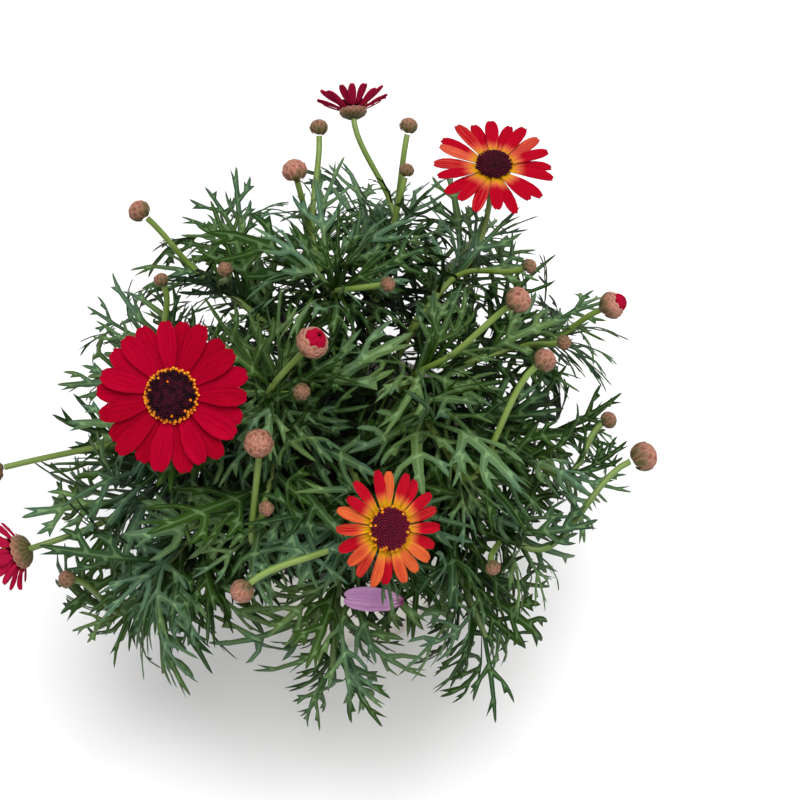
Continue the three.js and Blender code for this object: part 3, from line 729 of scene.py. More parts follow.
class Curve:
    """A Bezier curve through its first and last point, with one or two knees between them."""

    def __init__(self, *points):
        self.points = [np.array(point, float) for point in points]

    def at(self, t):
        degree = len(self.points) - 1
        weights = [math.comb(degree, k) * (1 - t) ** (degree - k) * t ** k for k in range(degree + 1)]
        return sum(weight * point for weight, point in zip(weights, self.points))

    def tangent(self, t):
        return unit(self.at(min(1, t + 0.0001)) - self.at(max(0, t - 0.0001)))

    def length(self):
        places = [self.at(i / 200) for i in range(201)]
        return sum(np.linalg.norm(b - a) for a, b in zip(places, places[1:]))


def arching(foot, tip):
    """A curve that rises first and then leans out to its tip."""
    run = np.array(tip, float) - foot
    reach = math.hypot(run[0], run[1])
    knee = (foot[0] + 0.3 * run[0], foot[1] + 0.3 * run[1], foot[2] + 0.7 * run[2] + 0.22 * reach)
    return Curve(foot, knee, tip)


# %% Curves of the shoots
ARM_RING_R, ARM_END_Z, FIRST_ARM_TURN = 15, 130, 12
SIDE_SHOOT_AT = 0.45
SHOOT_TIPS = [
    ((90, 18, 185), (104, 56, 152)), ((55, 50, 200), (66, 108, 158)), ((22, 80, 190), (6, 124, 158)),
    ((-15, 62, 205), (-2, 18, 222)), ((-62, 45, 195), (-60, 106, 158)), ((-98, 2, 180), (-106, 50, 148)),
    ((-66, -40, 200), (-98, -58, 158)), ((-28, -30, 212), (-35, -82, 185)),
    ((-96, -90, 128), (-76, -80, 156)), ((12, -78, 190), (-4, -118, 136)),
    ((80, -74, 160), (62, -104, 136)), ((98, -42, 168), (106, -6, 148)), ((40, -12, 210), (50, -58, 195)),
]
STEM_COUNT = len(SHOOT_TIPS)
arm_ends = []
shoots = []
for i, (leader_tip, side_tip) in enumerate(SHOOT_TIPS):
    turn = math.radians(FIRST_ARM_TURN + 360 * i / STEM_COUNT)
    arm_ends.append(np.array((ARM_RING_R * math.cos(turn), ARM_RING_R * math.sin(turn), ARM_END_Z)))
    leader = arching(arm_ends[i], leader_tip)
    shoots.append((leader, arching(leader.at(SIDE_SHOOT_AT), side_tip)))
lengths = [curve.length() for pair in shoots for curve in pair]
print("shoots:", len(lengths), "longest in mm:", round(max(lengths)))

# %% [markdown]
# ## Heads and their stalks
#
# Each bud has its stem, its shoot, the share of the shoot at which its stalk leaves, its place and its
# size. A bloom also has the way it faces, its disc, and its petals' number, width, rise and droop.

# %% Buds and blooms
BUDS = [
    (4, 0, 0.97, (-90, 58, 228), 10), (3, 0, 0.98, (-21, 68, 243), 11), (3, 0, 0.9, (-12, 104, 233), 8.4),
    (2, 0, 0.9, (29, 108, 230), 8.4), (7, 0, 0.97, (-9, -36, 258), 12.7), (7, 0, 0.85, (-14, -44, 236), 7),
    (7, 1, 0.97, (-29, -72, 242), 11.3), (12, 0, 0.97, (73, -5, 245), 11), (12, 1, 0.97, (83, -30, 238), 9.6),
    (0, 0, 0.97, (117, 18, 212), 12), (10, 0, 0.97, (129, -42, 184), 13), (11, 0, 0.97, (116, -22, 182), 7.7),
    (9, 0, 0.93, (-36, -116, 205), 9.6), (8, 0, 0.97, (-116, -88, 160), 7.8), (7, 1, 0.9, (-27, -88, 220), 6),
    (10, 0, 0.85, (63, -94, 182), 6.4), (0, 0, 0.85, (95, -2, 212), 6.4), (1, 0, 0.85, (81, 30, 224), 6.4),
    (3, 1, 0.95, (20, 4, 244), 6.4), (4, 0, 0.85, (-49, 20, 234), 6.4), (5, 0, 0.8, (-78, 24, 222), 6.4),
    (2, 0, 0.8, (28, 86, 224), 7), (6, 0, 0.8, (-151, -44, 176), 12),
]
OPEN_BUDS = (4, 9)
BUD_FACES = {4: (0.45, -0.1, 0.85), 6: (0.05, -0.4, 0.9)}
BLOOMS = [
    dict(stem=6, shoot=0, start=0.97, at=(-63, -52, 245), face=(-0.1, -0.53, 0.85), size=61,
         disc=21, petals=22, width=9.4, rise=0.02, droop=0.05),
    dict(stem=1, shoot=0, start=0.97, at=(67, 82, 230), face=(0.03, -0.02, 1), size=56,
         disc=16, petals=20, width=6.6, rise=0.1, droop=0.1),
    dict(stem=9, shoot=0, start=0.98, at=(20, -100, 226), face=(0.48, -0.5, 0.72), size=46,
         disc=17, petals=20, width=5.2, rise=0.05, droop=0.12),
    dict(stem=2, shoot=0, start=0.98, at=(3, 123, 226), face=(-0.08, 0.88, 0.46), size=38,
         disc=13, petals=18, width=4.4, rise=0.6, droop=0.05),
    dict(stem=6, shoot=1, start=0.85, at=(-137, -78, 165), face=(-0.9, -0.15, -0.3), size=36,
         disc=15, petals=18, width=4.6, rise=0.7, droop=0.05),
]
print("buds:", len(BUDS), "blooms:", len(BLOOMS))

# %% Their stalks
SEAT, BUD_DEPTH, CUP_DEPTH = 0.35, 0.425, 0.32


def make_stalk(stem, shoot, start, place, face, depth):
    """The stalk's curve, and the way its head faces. depth is how far the head reaches below its place."""
    foot = shoots[stem][shoot].at(start)
    leaves = shoots[stem][shoot].tangent(start)
    place = np.array(place, float)
    run = np.linalg.norm(place - foot)
    face = unit(np.array(face, float) if face else place - foot + 0.3 * run * leaves)
    end = place - depth * face
    return Curve(foot, foot + 0.35 * run * leaves, end - 0.3 * run * face, end), face


def frame_at(up):
    """Two directions square to `up`, and `up` itself, as the rows of a matrix."""
    along = unit(np.cross(up, X_AXIS if abs(up[2]) > 0.9 else Z_AXIS))
    return np.array((np.cross(along, up), along, up))


def stand(points, centre, up):
    """Places points that were modelled upright at the origin at centre, with their Z along up."""
    return points @ frame_at(up) + np.array(centre, float)


def stand_copies(copies, centre, up):
    return [(shape, stand(places, centre, up), tint, under) for shape, places, tint, under in copies]


bud_stalks = [make_stalk(stem, shoot, start, place, BUD_FACES.get(i), BUD_DEPTH * size + SEAT)
              for i, (stem, shoot, start, place, size) in enumerate(BUDS)]
bloom_stalks = [make_stalk(bloom["stem"], bloom["shoot"], bloom["start"], bloom["at"], bloom["face"],
                           CUP_DEPTH * bloom["disc"] + SEAT)
                for bloom in BLOOMS]

# %% [markdown]
# ## Woody base, stems and stalks
#
# Stems are drawn as curves with a cross-section. The section of a green stem is a circle with nine low
# ribs, as on the real plant, and the curve's radius gets smaller towards its tip. The curves then become
# meshes. The wood uses a rounder section, and its skin is roughened afterwards by a noise that is stretched
# along it.

# %% Sections and tubes
RIB_COUNT = 9


def draw_section(name, depth):
    """A circle of 1 mm radius with ribs of that depth."""
    bpy.ops.curve.primitive_bezier_circle_add(radius=1)
    section = bpy.context.object
    section.name = name
    section.data.splines.clear()
    spline = section.data.splines.new("POLY")
    spline.points.add(2 * RIB_COUNT - 1)
    spline.use_cyclic_u = True
    for i, point in enumerate(spline.points):
        r = (1 if i % 2 else 1 - depth) * MM
        turn = math.pi * i / RIB_COUNT
        point.co = (r * math.cos(turn), r * math.sin(turn), 0, 1)
    return section


def draw_tube(curve, start_r, end_r, section, steps):
    """A closed tube along a curve, as a mesh object. Its radius goes evenly from start_r to end_r."""
    bpy.ops.curve.primitive_bezier_curve_add(radius=1)
    drawn = bpy.context.object
    points = curve.points
    if len(points) == 3:
        foot, knee, tip = points
        points = [foot, foot + (knee - foot) * 2 / 3, tip + (knee - tip) * 2 / 3, tip]
    spline = drawn.data.splines[0]
    for point, own, before, after, r in (
        (spline.bezier_points[0], points[0], 2 * points[0] - points[1], points[1], start_r),
        (spline.bezier_points[1], points[3], points[2], 2 * points[3] - points[2], end_r),
    ):
        point.handle_left_type = point.handle_right_type = "FREE"
        point.co, point.handle_left, point.handle_right = own * MM, before * MM, after * MM
        point.radius = r
    spline.radius_interpolation = "LINEAR"
    spline.resolution_u = steps
    drawn.data.bevel_mode = "OBJECT"
    drawn.data.bevel_object = section
    drawn.data.use_fill_caps = True
    bpy.ops.object.convert(target="MESH")
    return bpy.context.object


def join(pieces):
    bpy.ops.object.select_all(action="DESELECT")
    for piece in pieces:
        piece.select_set(True)
    bpy.context.view_layer.objects.active = pieces[0]
    bpy.ops.object.join()
    return bpy.context.object


# %% The woody base
FORK_Z, TRUNK_FOOT_Z, TRUNK_FOOT_R, TRUNK_R, ARM_FOOT_R, ARM_R = 109, 70, 5.6, 7, 3.6, 2.9
round_section = draw_section("round_section", 0.05)
trunk = Curve((0, 0, TRUNK_FOOT_Z), (0, 0, 92), (0, 0, FORK_Z + 4))
wood = [draw_tube(trunk, TRUNK_FOOT_R, TRUNK_R, round_section, 14)]
for i, end in enumerate(arm_ends):
    start = np.array((0.12 * end[0], 0.12 * end[1], FORK_Z))
    knee = end - 0.5 * np.linalg.norm(end - start) * shoots[i][0].tangent(0)
    wood.append(draw_tube(Curve(start, knee, end), ARM_FOOT_R, ARM_R, round_section, 10))
woody_base = join(wood)
for vertex in woody_base.data.vertices:
    x, y, z = vertex.co / MM
    vertex.co += vertex.normal * 0.35 * noise.noise(Vector((x * 0.9, y * 0.9, z * 0.25))) * MM
finish_piece(woody_base, "woody_base_bark", bark, ["woody_base"])
bpy.data.objects.remove(round_section)

# %% The green stems and stalks
STEM_BASE_R, SIDE_BASE_R, STEM_TIP_R, STALK_R = 2.3, 1.9, 1.3, 1.35
DARK_BELOW_Z, DARKENS_OVER = 195, 60
ribbed_section = draw_section("ribbed_section", 0.12)
for i, (leader, side) in enumerate(shoots):
    raised = Curve(leader.at(0) + SEAT * leader.tangent(0), *leader.points[1:])
    green = [draw_tube(raised, STEM_BASE_R, STEM_TIP_R, ribbed_section, 14),
             draw_tube(side, SIDE_BASE_R, STEM_TIP_R, ribbed_section, 12)]
    for bud, (curve, _) in zip(BUDS, bud_stalks):
        if bud[0] == i:
            green.append(draw_tube(curve, STALK_R, STALK_R, ribbed_section, 12))
    for bloom, (curve, _) in zip(BLOOMS, bloom_stalks):
        if bloom["stem"] == i:
            green.append(draw_tube(curve, STALK_R, STALK_R, ribbed_section, 14))
    stalks = join(green)
    heights = np.array([vertex.co.z for vertex in stalks.data.vertices]) / MM
    write_value(stalks.data, "tint", np.clip((DARK_BELOW_Z - heights) / DARKENS_OVER, 0, 1))
    name = f"stem_{i + 1:02d}"
    finish_piece(stalks, f"{name}_stalks", stalk_green, [f"leafy_{name}"], 60)
bpy.data.objects.remove(ribbed_section)

# %% [markdown]
# ## The cut leaves
#
# A marguerite's leaf is cut nearly to its rib: a narrow blade, and lobes that lean forward and end in
# points, some with a tooth or two. It is box-modelled flat: a strip three vertices wide is drawn out row by
# row along the rib, then each lobe is drawn out from three vertices of the rib's side. The vertices inside
# the outline are raised, and a copy of the whole is turned over and joined on at the outline. That gives a
# leaf with a raised mid-line and thin edges on 80 to 150 faces, which matters because there are hundreds of
# leaves.

# %% Drawing a strip
def next_row(piece, centre, width, turn=0.0):
    """Extrudes the selected row of vertices, and gives the new row its middle, its width in mm and a turn."""
    row = selected_places(piece)
    middle = (row.min(0) + row.max(0)) / 2
    now = np.linalg.norm(row.max(0) - row.min(0))
    centre = np.array((centre[0], centre[1], 0.0))
    extrude(centre - middle)
    if turn:
        bpy.ops.transform.rotate(value=-turn, orient_axis="Z", center_override=Vector(centre) * MM)
    scale_about(centre, (width / now,) * 3)


def draw_strip(rows, strips, length, half_width):
    """A flat strip along X, with that many strips abreast. rows: (share of length, share of half width)."""
    (start, start_w), (end, end_w) = rows[:2]
    bpy.ops.mesh.primitive_grid_add(x_subdivisions=1, y_subdivisions=strips, size=1)
    piece = bpy.context.object
    piece.scale = ((end - start) * length * MM, 2 * start_w * half_width * MM, 1)
    piece.location.x = (start + end) / 2 * length * MM
    apply_place()
    edit(piece)
    select_vertices(piece, lambda place: place.x > (start + end) / 2 * length)
    scale_about((end * length, 0, 0), (1, end_w / start_w, 1))
    for share, half in rows[2:]:
        next_row(piece, (share * length, 0), 2 * half * half_width)
    return piece


def sharp_end(piece, tip):
    """Extrudes the selected row to one point."""
    extrude((0, 0, 0))
    centre = selected_places(piece).mean(0)
    bpy.ops.mesh.merge(type="CENTER")
    shift_selected((tip[0] - centre[0], tip[1] - centre[1], 0))


def face_up(piece):
    face_outwards()
    if sum(face.normal.z for face in bmesh.from_edit_mesh(piece.data).faces) < 0:
        bpy.ops.mesh.flip_normals()


# %% Lobes and teeth
LEAF_MODEL_LENGTH, RIB_LIFT = 50.0, 0.3
TOOTHED_ROWS = ((0.36, 1.0), (0.52, 1.0), (0.68, 1.0), (0.86, 0.72))
PLAIN_ROWS = ((0.38, 1.0), (0.82, 0.85))
TOOTH_OUT, TOOTH_FORWARD = 0.045 * LEAF_MODEL_LENGTH, 0.06


def pick_nearest(piece, places):
    bpy.ops.mesh.select_all(action="DESELECT")
    shape = bmesh.from_edit_mesh(piece.data)
    for x, y in places:
        nearest = min(shape.verts, key=lambda vertex: math.dist(vertex.co.xy / MM, (x, y)))
        nearest.select = True
    shape.select_flush(True)
    bmesh.update_edit_mesh(piece.data)


def draw_lobe(piece, root, side, tip, width, teeth):
    """Draws a lobe from the selected side of the rib, and its teeth."""
    knee = root + (tip - root) * 0.5 + np.array((-0.05, 0.04 * side)) * LEAF_MODEL_LENGTH
    line = Curve((*root, 0), (*knee, 0), (*tip, 0))
    heading = 0.0
    rows = []
    for share, narrowing in TOOTHED_ROWS if teeth else PLAIN_ROWS:
        centre, along = line.at(share)[:2], line.tangent(share)[:2]
        now = math.atan2(along[1], along[0]) - side * math.pi / 2
        half = width / 2 * narrowing
        next_row(piece, centre, 2 * half, now - heading)
        heading = now
        rows.append((centre, along, half))
    sharp_end(piece, tip)
    for letter, way in (("R", -1), ("F", 1)):
        if letter in teeth:
            squares = [np.array((along[1], -along[0])) * side * way for _, along, _ in rows[:3]]
            pick_nearest(piece, [centre + square * half for (centre, _, half), square in zip(rows, squares)])
            centre, along, half = rows[1]
            forward = along * TOOTH_FORWARD * LEAF_MODEL_LENGTH
            sharp_end(piece, centre + squares[1] * (half + TOOTH_OUT) + forward)


# %% Modelling a leaf
def model_leaf(rib, lobes):
    """rib: (share, half width). lobes: (side, rib row, tip, width, teeth). teeth has R for one on the rear
    edge and F for one on the front edge, or is "spur" for a lobe that is only a short point."""
    piece = draw_strip(rib, 2, LEAF_MODEL_LENGTH, LEAF_MODEL_LENGTH)
    for side, row, tip, width, teeth in lobes:
        base = [np.array((u, side * half)) * LEAF_MODEL_LENGTH for u, half in rib[row:row + 3]]
        tip = np.array(tip) * (1, side) * LEAF_MODEL_LENGTH
        pick_nearest(piece, base)
        if teeth == "spur":
            sharp_end(piece, tip)
        else:
            draw_lobe(piece, base[1], side, tip, width * LEAF_MODEL_LENGTH, teeth)
    bpy.ops.mesh.select_all(action="DESELECT")
    bpy.ops.mesh.select_non_manifold()
    bpy.ops.mesh.select_all(action="INVERT")
    shift_selected((0, 0, RIB_LIFT))
    face_up(piece)
    bpy.ops.mesh.duplicate()
    scale_about((0, 0, 0), (1, 1, -1))
    bpy.ops.mesh.flip_normals()
    bpy.ops.mesh.select_all(action="SELECT")
    bpy.ops.mesh.remove_doubles(threshold=0.002 * MM)
    leave_edit_mode()
    return Shape(piece, lambda point: (point[0] / LEAF_MODEL_LENGTH, 1.0 if abs(point[2]) > 0.05 else 0.0))


# %% Eight leaves
GROWN_RIB = [(0, 0.0197), (0.275, 0.0197), (0.315, 0.0246), (0.355, 0.0246), (0.4, 0.023), (0.56, 0.0205),
             (0.6, 0.0246), (0.64, 0.0246), (0.68, 0.0221), (0.8, 0.0189), (0.84, 0.0213), (0.88, 0.018),
             (0.96, 0.0123), (1.0, 0.0033)]
BROAD_RIB = [(0, 0.022), (0.275, 0.032), (0.315, 0.042), (0.355, 0.044), (0.4, 0.042), (0.56, 0.036),
             (0.6, 0.042), (0.64, 0.042), (0.68, 0.038), (0.8, 0.03), (0.84, 0.034), (0.88, 0.027),
             (0.96, 0.018), (1.0, 0.005)]
YOUNG_RIB = [(0, 0.0246), (0.34, 0.0262), (0.39, 0.0312), (0.44, 0.0312), (0.5, 0.0295), (0.72, 0.0246),
             (0.77, 0.0279), (0.82, 0.023), (0.95, 0.0148), (1.0, 0.0041)]
ANTLER_RIB = [(0, 0.02), (0.4, 0.026), (0.47, 0.036), (0.51, 0.04), (0.55, 0.038), (0.64, 0.036),
              (0.68, 0.042), (0.72, 0.04), (0.76, 0.032), (0.86, 0.026), (0.9, 0.024), (0.97, 0.016),
              (1.0, 0.004)]
leaf_shapes = {
    "grown": [
        model_leaf(GROWN_RIB, [(1, 1, (0.585, 0.25), 0.037, "R"), (-1, 2, (0.655, 0.25), 0.036, "F"),
                               (1, 5, (0.825, 0.19), 0.036, ""), (-1, 6, (0.895, 0.19), 0.036, "R"),
                               (1, 9, (0.93, 0.08), 0, "spur")]),
        model_leaf(BROAD_RIB, [(1, 1, (0.585, 0.25), 0.052, "RF"), (-1, 2, (0.655, 0.25), 0.056, "F"),
                               (1, 5, (0.825, 0.19), 0.05, "R"), (-1, 6, (0.895, 0.19), 0.048, ""),
                               (-1, 9, (0.96, 0.09), 0, "spur")]),
        model_leaf(GROWN_RIB, [(1, 1, (0.585, 0.25), 0.039, "F"), (-1, 2, (0.655, 0.25), 0.037, "R"),
                               (1, 5, (0.825, 0.19), 0.034, ""), (-1, 6, (0.895, 0.19), 0.034, "F")]),
    ],
    "young": [
        model_leaf(YOUNG_RIB, [(1, 1, (0.745, 0.23), 0.044, "R"), (-1, 2, (0.815, 0.23), 0.043, "F"),
                               (1, 5, (0.93, 0.1), 0, "spur")]),
        model_leaf(YOUNG_RIB, [(1, 1, (0.745, 0.23), 0.043, ""), (-1, 2, (0.815, 0.23), 0.046, "RF"),
                               (-1, 5, (0.94, 0.09), 0, "spur")]),
    ],
}
free_shapes = [
    model_leaf(ANTLER_RIB, [(1, 1, (0.72, 0.2), 0.05, "RF"), (-1, 2, (0.84, 0.15), 0.046, "R"),
                            (1, 5, (0.92, 0.14), 0.042, "F"), (-1, 8, (1.0, 0.07), 0, "spur")]),
    model_leaf(ANTLER_RIB, [(1, 2, (0.78, 0.17), 0.046, "F"), (-1, 1, (0.66, 0.16), 0.05, "R"),
                            (-1, 5, (0.9, 0.16), 0.046, "RF"), (1, 8, (0.99, 0.08), 0, "spur")]),
    model_leaf(YOUNG_RIB, [(1, 1, (0.56, 0.1), 0, "spur"), (-1, 2, (0.64, 0.1), 0, "spur"),
                           (1, 5, (0.9, 0.09), 0, "spur")]),
]
slim_leaf = free_shapes[2]
for kind, shapes in (*leaf_shapes.items(), ("free", free_shapes)):
    print(kind, "leaf faces:", [len(shape.faces) for shape in shapes])

# %% [markdown]
# ## Growing the leaves
#
# This repeats the solid model's rule for its leaves, draw by draw. Balls stand for the space that stems and
# heads take, and a leaf that comes too near one is drawn again. Numbers between 0 and 1 come from the same
# repeatable stream. The bare numbers in `draw_leaf` are the solid model's own.

# %% The rule for a leaf
class Draws:
    """A repeatable stream of numbers between 0 and 1."""

    def __init__(self, state):
        self.state = state

    def next(self):
        self.state = self.state * 16807 % 2147483647
        return self.state / 2147483647


GOLDEN_ANGLE = 2.39996
MOUND_HEART = np.array((0, 0, 130.0))
YOUNG_BELOW = 0.3


def draw_leaf(shoot, t, number, age, draws, loose=1.0):
    """A leaf's place and bend. age is 0 at the tip of a shoot and 1 at its foot."""
    stem, root = shoot.tangent(t), shoot.at(t)
    level = unit(np.array((stem[1], -stem[0], 0)))
    other = np.cross(level, stem)
    turn = number * GOLDEN_ANGLE + (draws.next() - 0.5) * 1.2
    pitch = 0.5 + 0.6 * age + (draws.next() - 0.5) * 0.5 * loose
    roll = (draws.next() - 0.5) * 1.4 * loose
    curl = 0.35 + 0.9 * draws.next() * loose
    length = (34 + 40 * age - 18 * age * age) * (0.85 + 0.35 * draws.next())
    outward = unit(root - MOUND_HEART)
    heading = unit(math.cos(pitch) * stem + math.sin(pitch) * math.cos(turn) * level
                   + math.sin(pitch) * math.sin(turn) * other + 0.35 * outward)
    root = root + 0.7 * unit(heading - heading.dot(stem) * stem)
    upper = outward + 0.6 * Z_AXIS
    upper = unit(upper - upper.dot(heading) * heading)
    upper = math.cos(roll) * upper + math.sin(roll) * np.cross(heading, upper)
    kind = "young" if age < YOUNG_BELOW else "grown"
    return dict(root=root, heading=heading, upper=upper, curl=curl, length=length, kind=kind)


def leaf_places(leaf, points, sag=0.8):
    """Points (u, v, w) of a leaf, where u and v are shares of its length and w is its height in mm."""
    u, v, w = np.array(points).T
    radius = leaf["length"] / leaf["curl"]
    side = np.cross(leaf["upper"], leaf["heading"])
    bend = (leaf["curl"] * u)[:, None]
    normal = np.cos(bend) * leaf["upper"] + np.sin(bend) * leaf["heading"]
    return (leaf["root"] + radius * np.sin(bend) * leaf["heading"]
            - radius * (1 - np.cos(bend)) * leaf["upper"]
            + (v * leaf["length"])[:, None] * side + (w - sag * v * v * leaf["length"])[:, None] * normal)


# %% Space that is taken
TEST_LOBES = {"grown": ((0.62, 0.25), (0.86, 0.19)), "young": ((0.78, 0.23),)}
MOST_BALLS, FAR_AWAY, LOWEST_LEAF_Z, HEAD = 40000, 95, 40, -1


def test_points(leaf):
    """Points along a leaf's rib and lobes, which have to be clear of other things."""
    shares = [(u / 10, 0, 0) for u in range(2, 11)]
    for u, v in TEST_LOBES[leaf["kind"]]:
        for side in (1, -1):
            shares += [(u, side * v, 0), (u - 0.1, side * v * 0.66, 0), (u - 0.19, side * v * 0.36, 0)]
    return leaf_places(leaf, shares)


class TakenSpace:
    """Balls with an owner: a stem's number, or HEAD."""

    def __init__(self):
        self.points = np.zeros((MOST_BALLS, 3))
        self.radii = np.zeros(MOST_BALLS)
        self.owners = np.zeros(MOST_BALLS, int)
        self.count = 0

    def take(self, points, radius, owner):
        points = np.atleast_2d(points)
        to = slice(self.count, self.count + len(points))
        self.points[to], self.radii[to], self.owners[to] = points, radius, owner
        self.count += len(points)

    def take_curve(self, curve, radius, owner):
        steps = math.ceil(curve.length() / 4)
        self.take([curve.at(i / steps) for i in range(steps + 1)], radius, owner)

    def is_clear(self, points, radius, owner, own_share=0.6, other_share=1.0, margin=5):
        """The shares say how much of the room round the balls of the own stem and of other stems counts."""
        x, y, z = points.T
        beside_pot = (z < POT_HEIGHT + margin - 1) & (np.hypot(x, y) < RIM_R + margin)
        if np.any(beside_pot | (z < LOWEST_LEAF_Z)):
            return False
        balls, radii, owners = self.points[:self.count], self.radii[:self.count], self.owners[:self.count]
        close = np.abs(balls - points[len(points) // 2]).max(1) < FAR_AWAY
        balls, radii, owners = balls[close], radii[close], owners[close]
        share = np.where(owners == owner, own_share, np.where(owners == HEAD, 1.0, other_share))
        near = (radii + radius) * share
        gaps = ((points[:, None, :] - balls[None]) ** 2).sum(2)
        blocked = gaps < near ** 2
        blocked[:3, owners == owner] = False
        return not blocked.any()


# %% Space of the stems and heads
SHOOT_ROOM, STALK_ROOM, BUD_ROOM, BLOOM_ROOM = 2.6, 2.2, 1.2, 3
FALLEN = dict(at=(14, -101.5, 168), towards=(-1, 0.06, 0.02), face=(0.02, -0.45, 0.88), length=25, width=10)
space = TakenSpace()
for i, pair in enumerate(shoots):
    for curve in pair:
        space.take_curve(curve, SHOOT_ROOM, i)
for (stem, _, _, place, size), (curve, _) in zip(BUDS, bud_stalks):
    space.take_curve(curve, STALK_ROOM, stem)
    space.take(place, size / 2 + BUD_ROOM, HEAD)
for bloom, (curve, face) in zip(BLOOMS, bloom_stalks):
    space.take_curve(curve, STALK_ROOM, bloom["stem"])
    for share in (0, 0.35, 0.65, 0.95):
        for i in range(12):
            r, turn = share * bloom["size"] / 2, math.pi * i / 6
            on_petals = np.array((r * math.cos(turn), r * math.sin(turn), 0.5 * r * bloom["rise"]))
            space.take(stand(on_petals, bloom["at"], face), BLOOM_ROOM, HEAD)
    for step in (0.35, 0.75, 1.2):
        space.take(np.array(bloom["at"]) + step * bloom["size"] / 2 * face, bloom["size"] * 0.3, HEAD)
for share in (-0.4, -0.2, 0, 0.2, 0.4):
    along_petal = np.array(FALLEN["towards"]) * share * FALLEN["length"]
    space.take(np.array(FALLEN["at"]) + along_petal, FALLEN["width"] / 2, HEAD)
print("balls that are taken:", space.count)

# %% The leaves of the solid model
SOLID_ROUNDS, SOLID_TRIES, SOLID_LEAF_ROOM = 6, 14, 2.9
draws = Draws(20641)
leaves = [[] for _ in SHOOT_TIPS]
for step in range(SOLID_ROUNDS):
    age = step / (SOLID_ROUNDS - 1)
    t = 0.99 - 0.62 * age ** 1.15
    for i in range(STEM_COUNT):
        for shoot in (0, 1):
            for _ in range(SOLID_TRIES):
                leaf = draw_leaf(shoots[i][shoot], t, step * 2 + shoot + i, age, draws)
                points = test_points(leaf)
                if space.is_clear(points, SOLID_LEAF_ROOM, i):
                    leaves[i].append(leaf)
                    space.take(points, SOLID_LEAF_ROOM, i)
                    break
worst = 0
for i, own in enumerate(leaves):
    corners = np.array([vertex.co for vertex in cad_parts[f"leafy_stem_{i + 1:02d}"].data.vertices]) / MM
    for leaf in own:
        tip = leaf_places(leaf, [(1, 0, 0)])
        worst = max(worst, np.linalg.norm(corners - tip, axis=1).min())
print("leaves in the solid model:", sum(len(own) for own in leaves))
print("largest distance of a tip from its solid leaf in mm:", round(worst, 2))

# %% [markdown]
# ## More leaves between them
#
# The real plant has far more leaves than the solid model. More are grown by the same rule from another
# stream of draws: first along the whole of each shoot, a little closer together, then more that hang over
# at the front, then more at the left, and last a few small slim ones on every flower stalk. A reach in mm
# from the pot's axis keeps the mound in shape.

# %% The rule for more leaves
EXTRA_LOOSENESS, EXTRA_ROOM = 1.7, 1.3
CLOSER = dict(own_share=0.42, other_share=0.5, margin=2.5)
REACH, FRONT_LEFT_REACH = 132, 22
more_draws = Draws(777)
room_low, room_high = np.array(solid_low) / MM - 7, np.array(solid_high) / MM + 4


def points_out(points):
    """How far points are beyond the leaves' reach from the pot's axis, which is widest at the front left."""
    x, y = points[:, 0], points[:, 1]
    distance = np.hypot(x, y)
    return distance - REACH - FRONT_LEFT_REACH * np.maximum(0, (-0.8 * x - 0.6 * y) / distance)


def grow_extra(curve, t, number, age, owner, scale, tries=12):
    for _ in range(tries):
        leaf = draw_leaf(curve, t, number, age, more_draws, EXTRA_LOOSENESS)
        leaf["length"] *= scale * (0.72 + 0.36 * more_draws.next())
        leaf["root"] = leaf["root"] - 0.3 * unit(leaf["root"] - curve.at(t))
        points = test_points(leaf)
        in_box = np.all(points > room_low) and np.all(points < room_high)
        if in_box and np.all(points_out(points) < 0) and space.is_clear(points, EXTRA_ROOM, owner, **CLOSER):
            leaf["extra"] = True
            leaves[owner].append(leaf)
            space.take(points, SOLID_LEAF_ROOM, owner)
            return leaf


# %% More leaves
MORE_PER_SHOOT = 24
FRONT_STEMS, LEFT_STEMS = (6, 7, 8, 9, 10), (6, 8)
SLIM_LEAVES = ((0.1, 0.7), (0.24, 0.5), (0.42, 0.35))
for step in range(MORE_PER_SHOOT):
    age = step / (MORE_PER_SHOOT - 1)
    for i in range(STEM_COUNT):
        for shoot in (0, 1):
            number = step * 2 + shoot + i + 0.5
            grow_extra(shoots[i][shoot], 1.0 - 0.86 * age, number, min(1.0, 0.15 + age), i, 1.0)
for step in range(12):
    for i in FRONT_STEMS:
        for shoot in (0, 1):
            grow_extra(shoots[i][shoot], 0.35 + 0.05 * step, step * 2 + shoot + i, 0.85, i, 1.0, 25)
for step in range(9):
    for i in LEFT_STEMS:
        for shoot in (0, 1):
            grow_extra(shoots[i][shoot], 1.0 - 0.035 * step, step * 2 + shoot + i, 0.75, i, 1.05, 40)
stalk_owners = [bud[0] for bud in BUDS] + [bloom["stem"] for bloom in BLOOMS]
for k, (stem, (curve, _)) in enumerate(zip(stalk_owners, bud_stalks + bloom_stalks)):
    for number, (t, scale) in enumerate(SLIM_LEAVES):
        leaf = grow_extra(curve, t, number + k, 0.1, stem, scale, 6)
        if leaf:
            leaf["slim"] = True
print("leaves in all:", sum(len(own) for own in leaves))

# %% Set the leaves out
MOUND_SIZE = np.array((112, 112, 92.0))


def nearness_to_light(points):
    """0 deep inside the plant, and 1 or a little more at its surface."""
    depth = np.linalg.norm((points - MOUND_HEART) / MOUND_SIZE, axis=1)
    return np.clip((depth - 0.55) / 0.5, 0, 1.1)


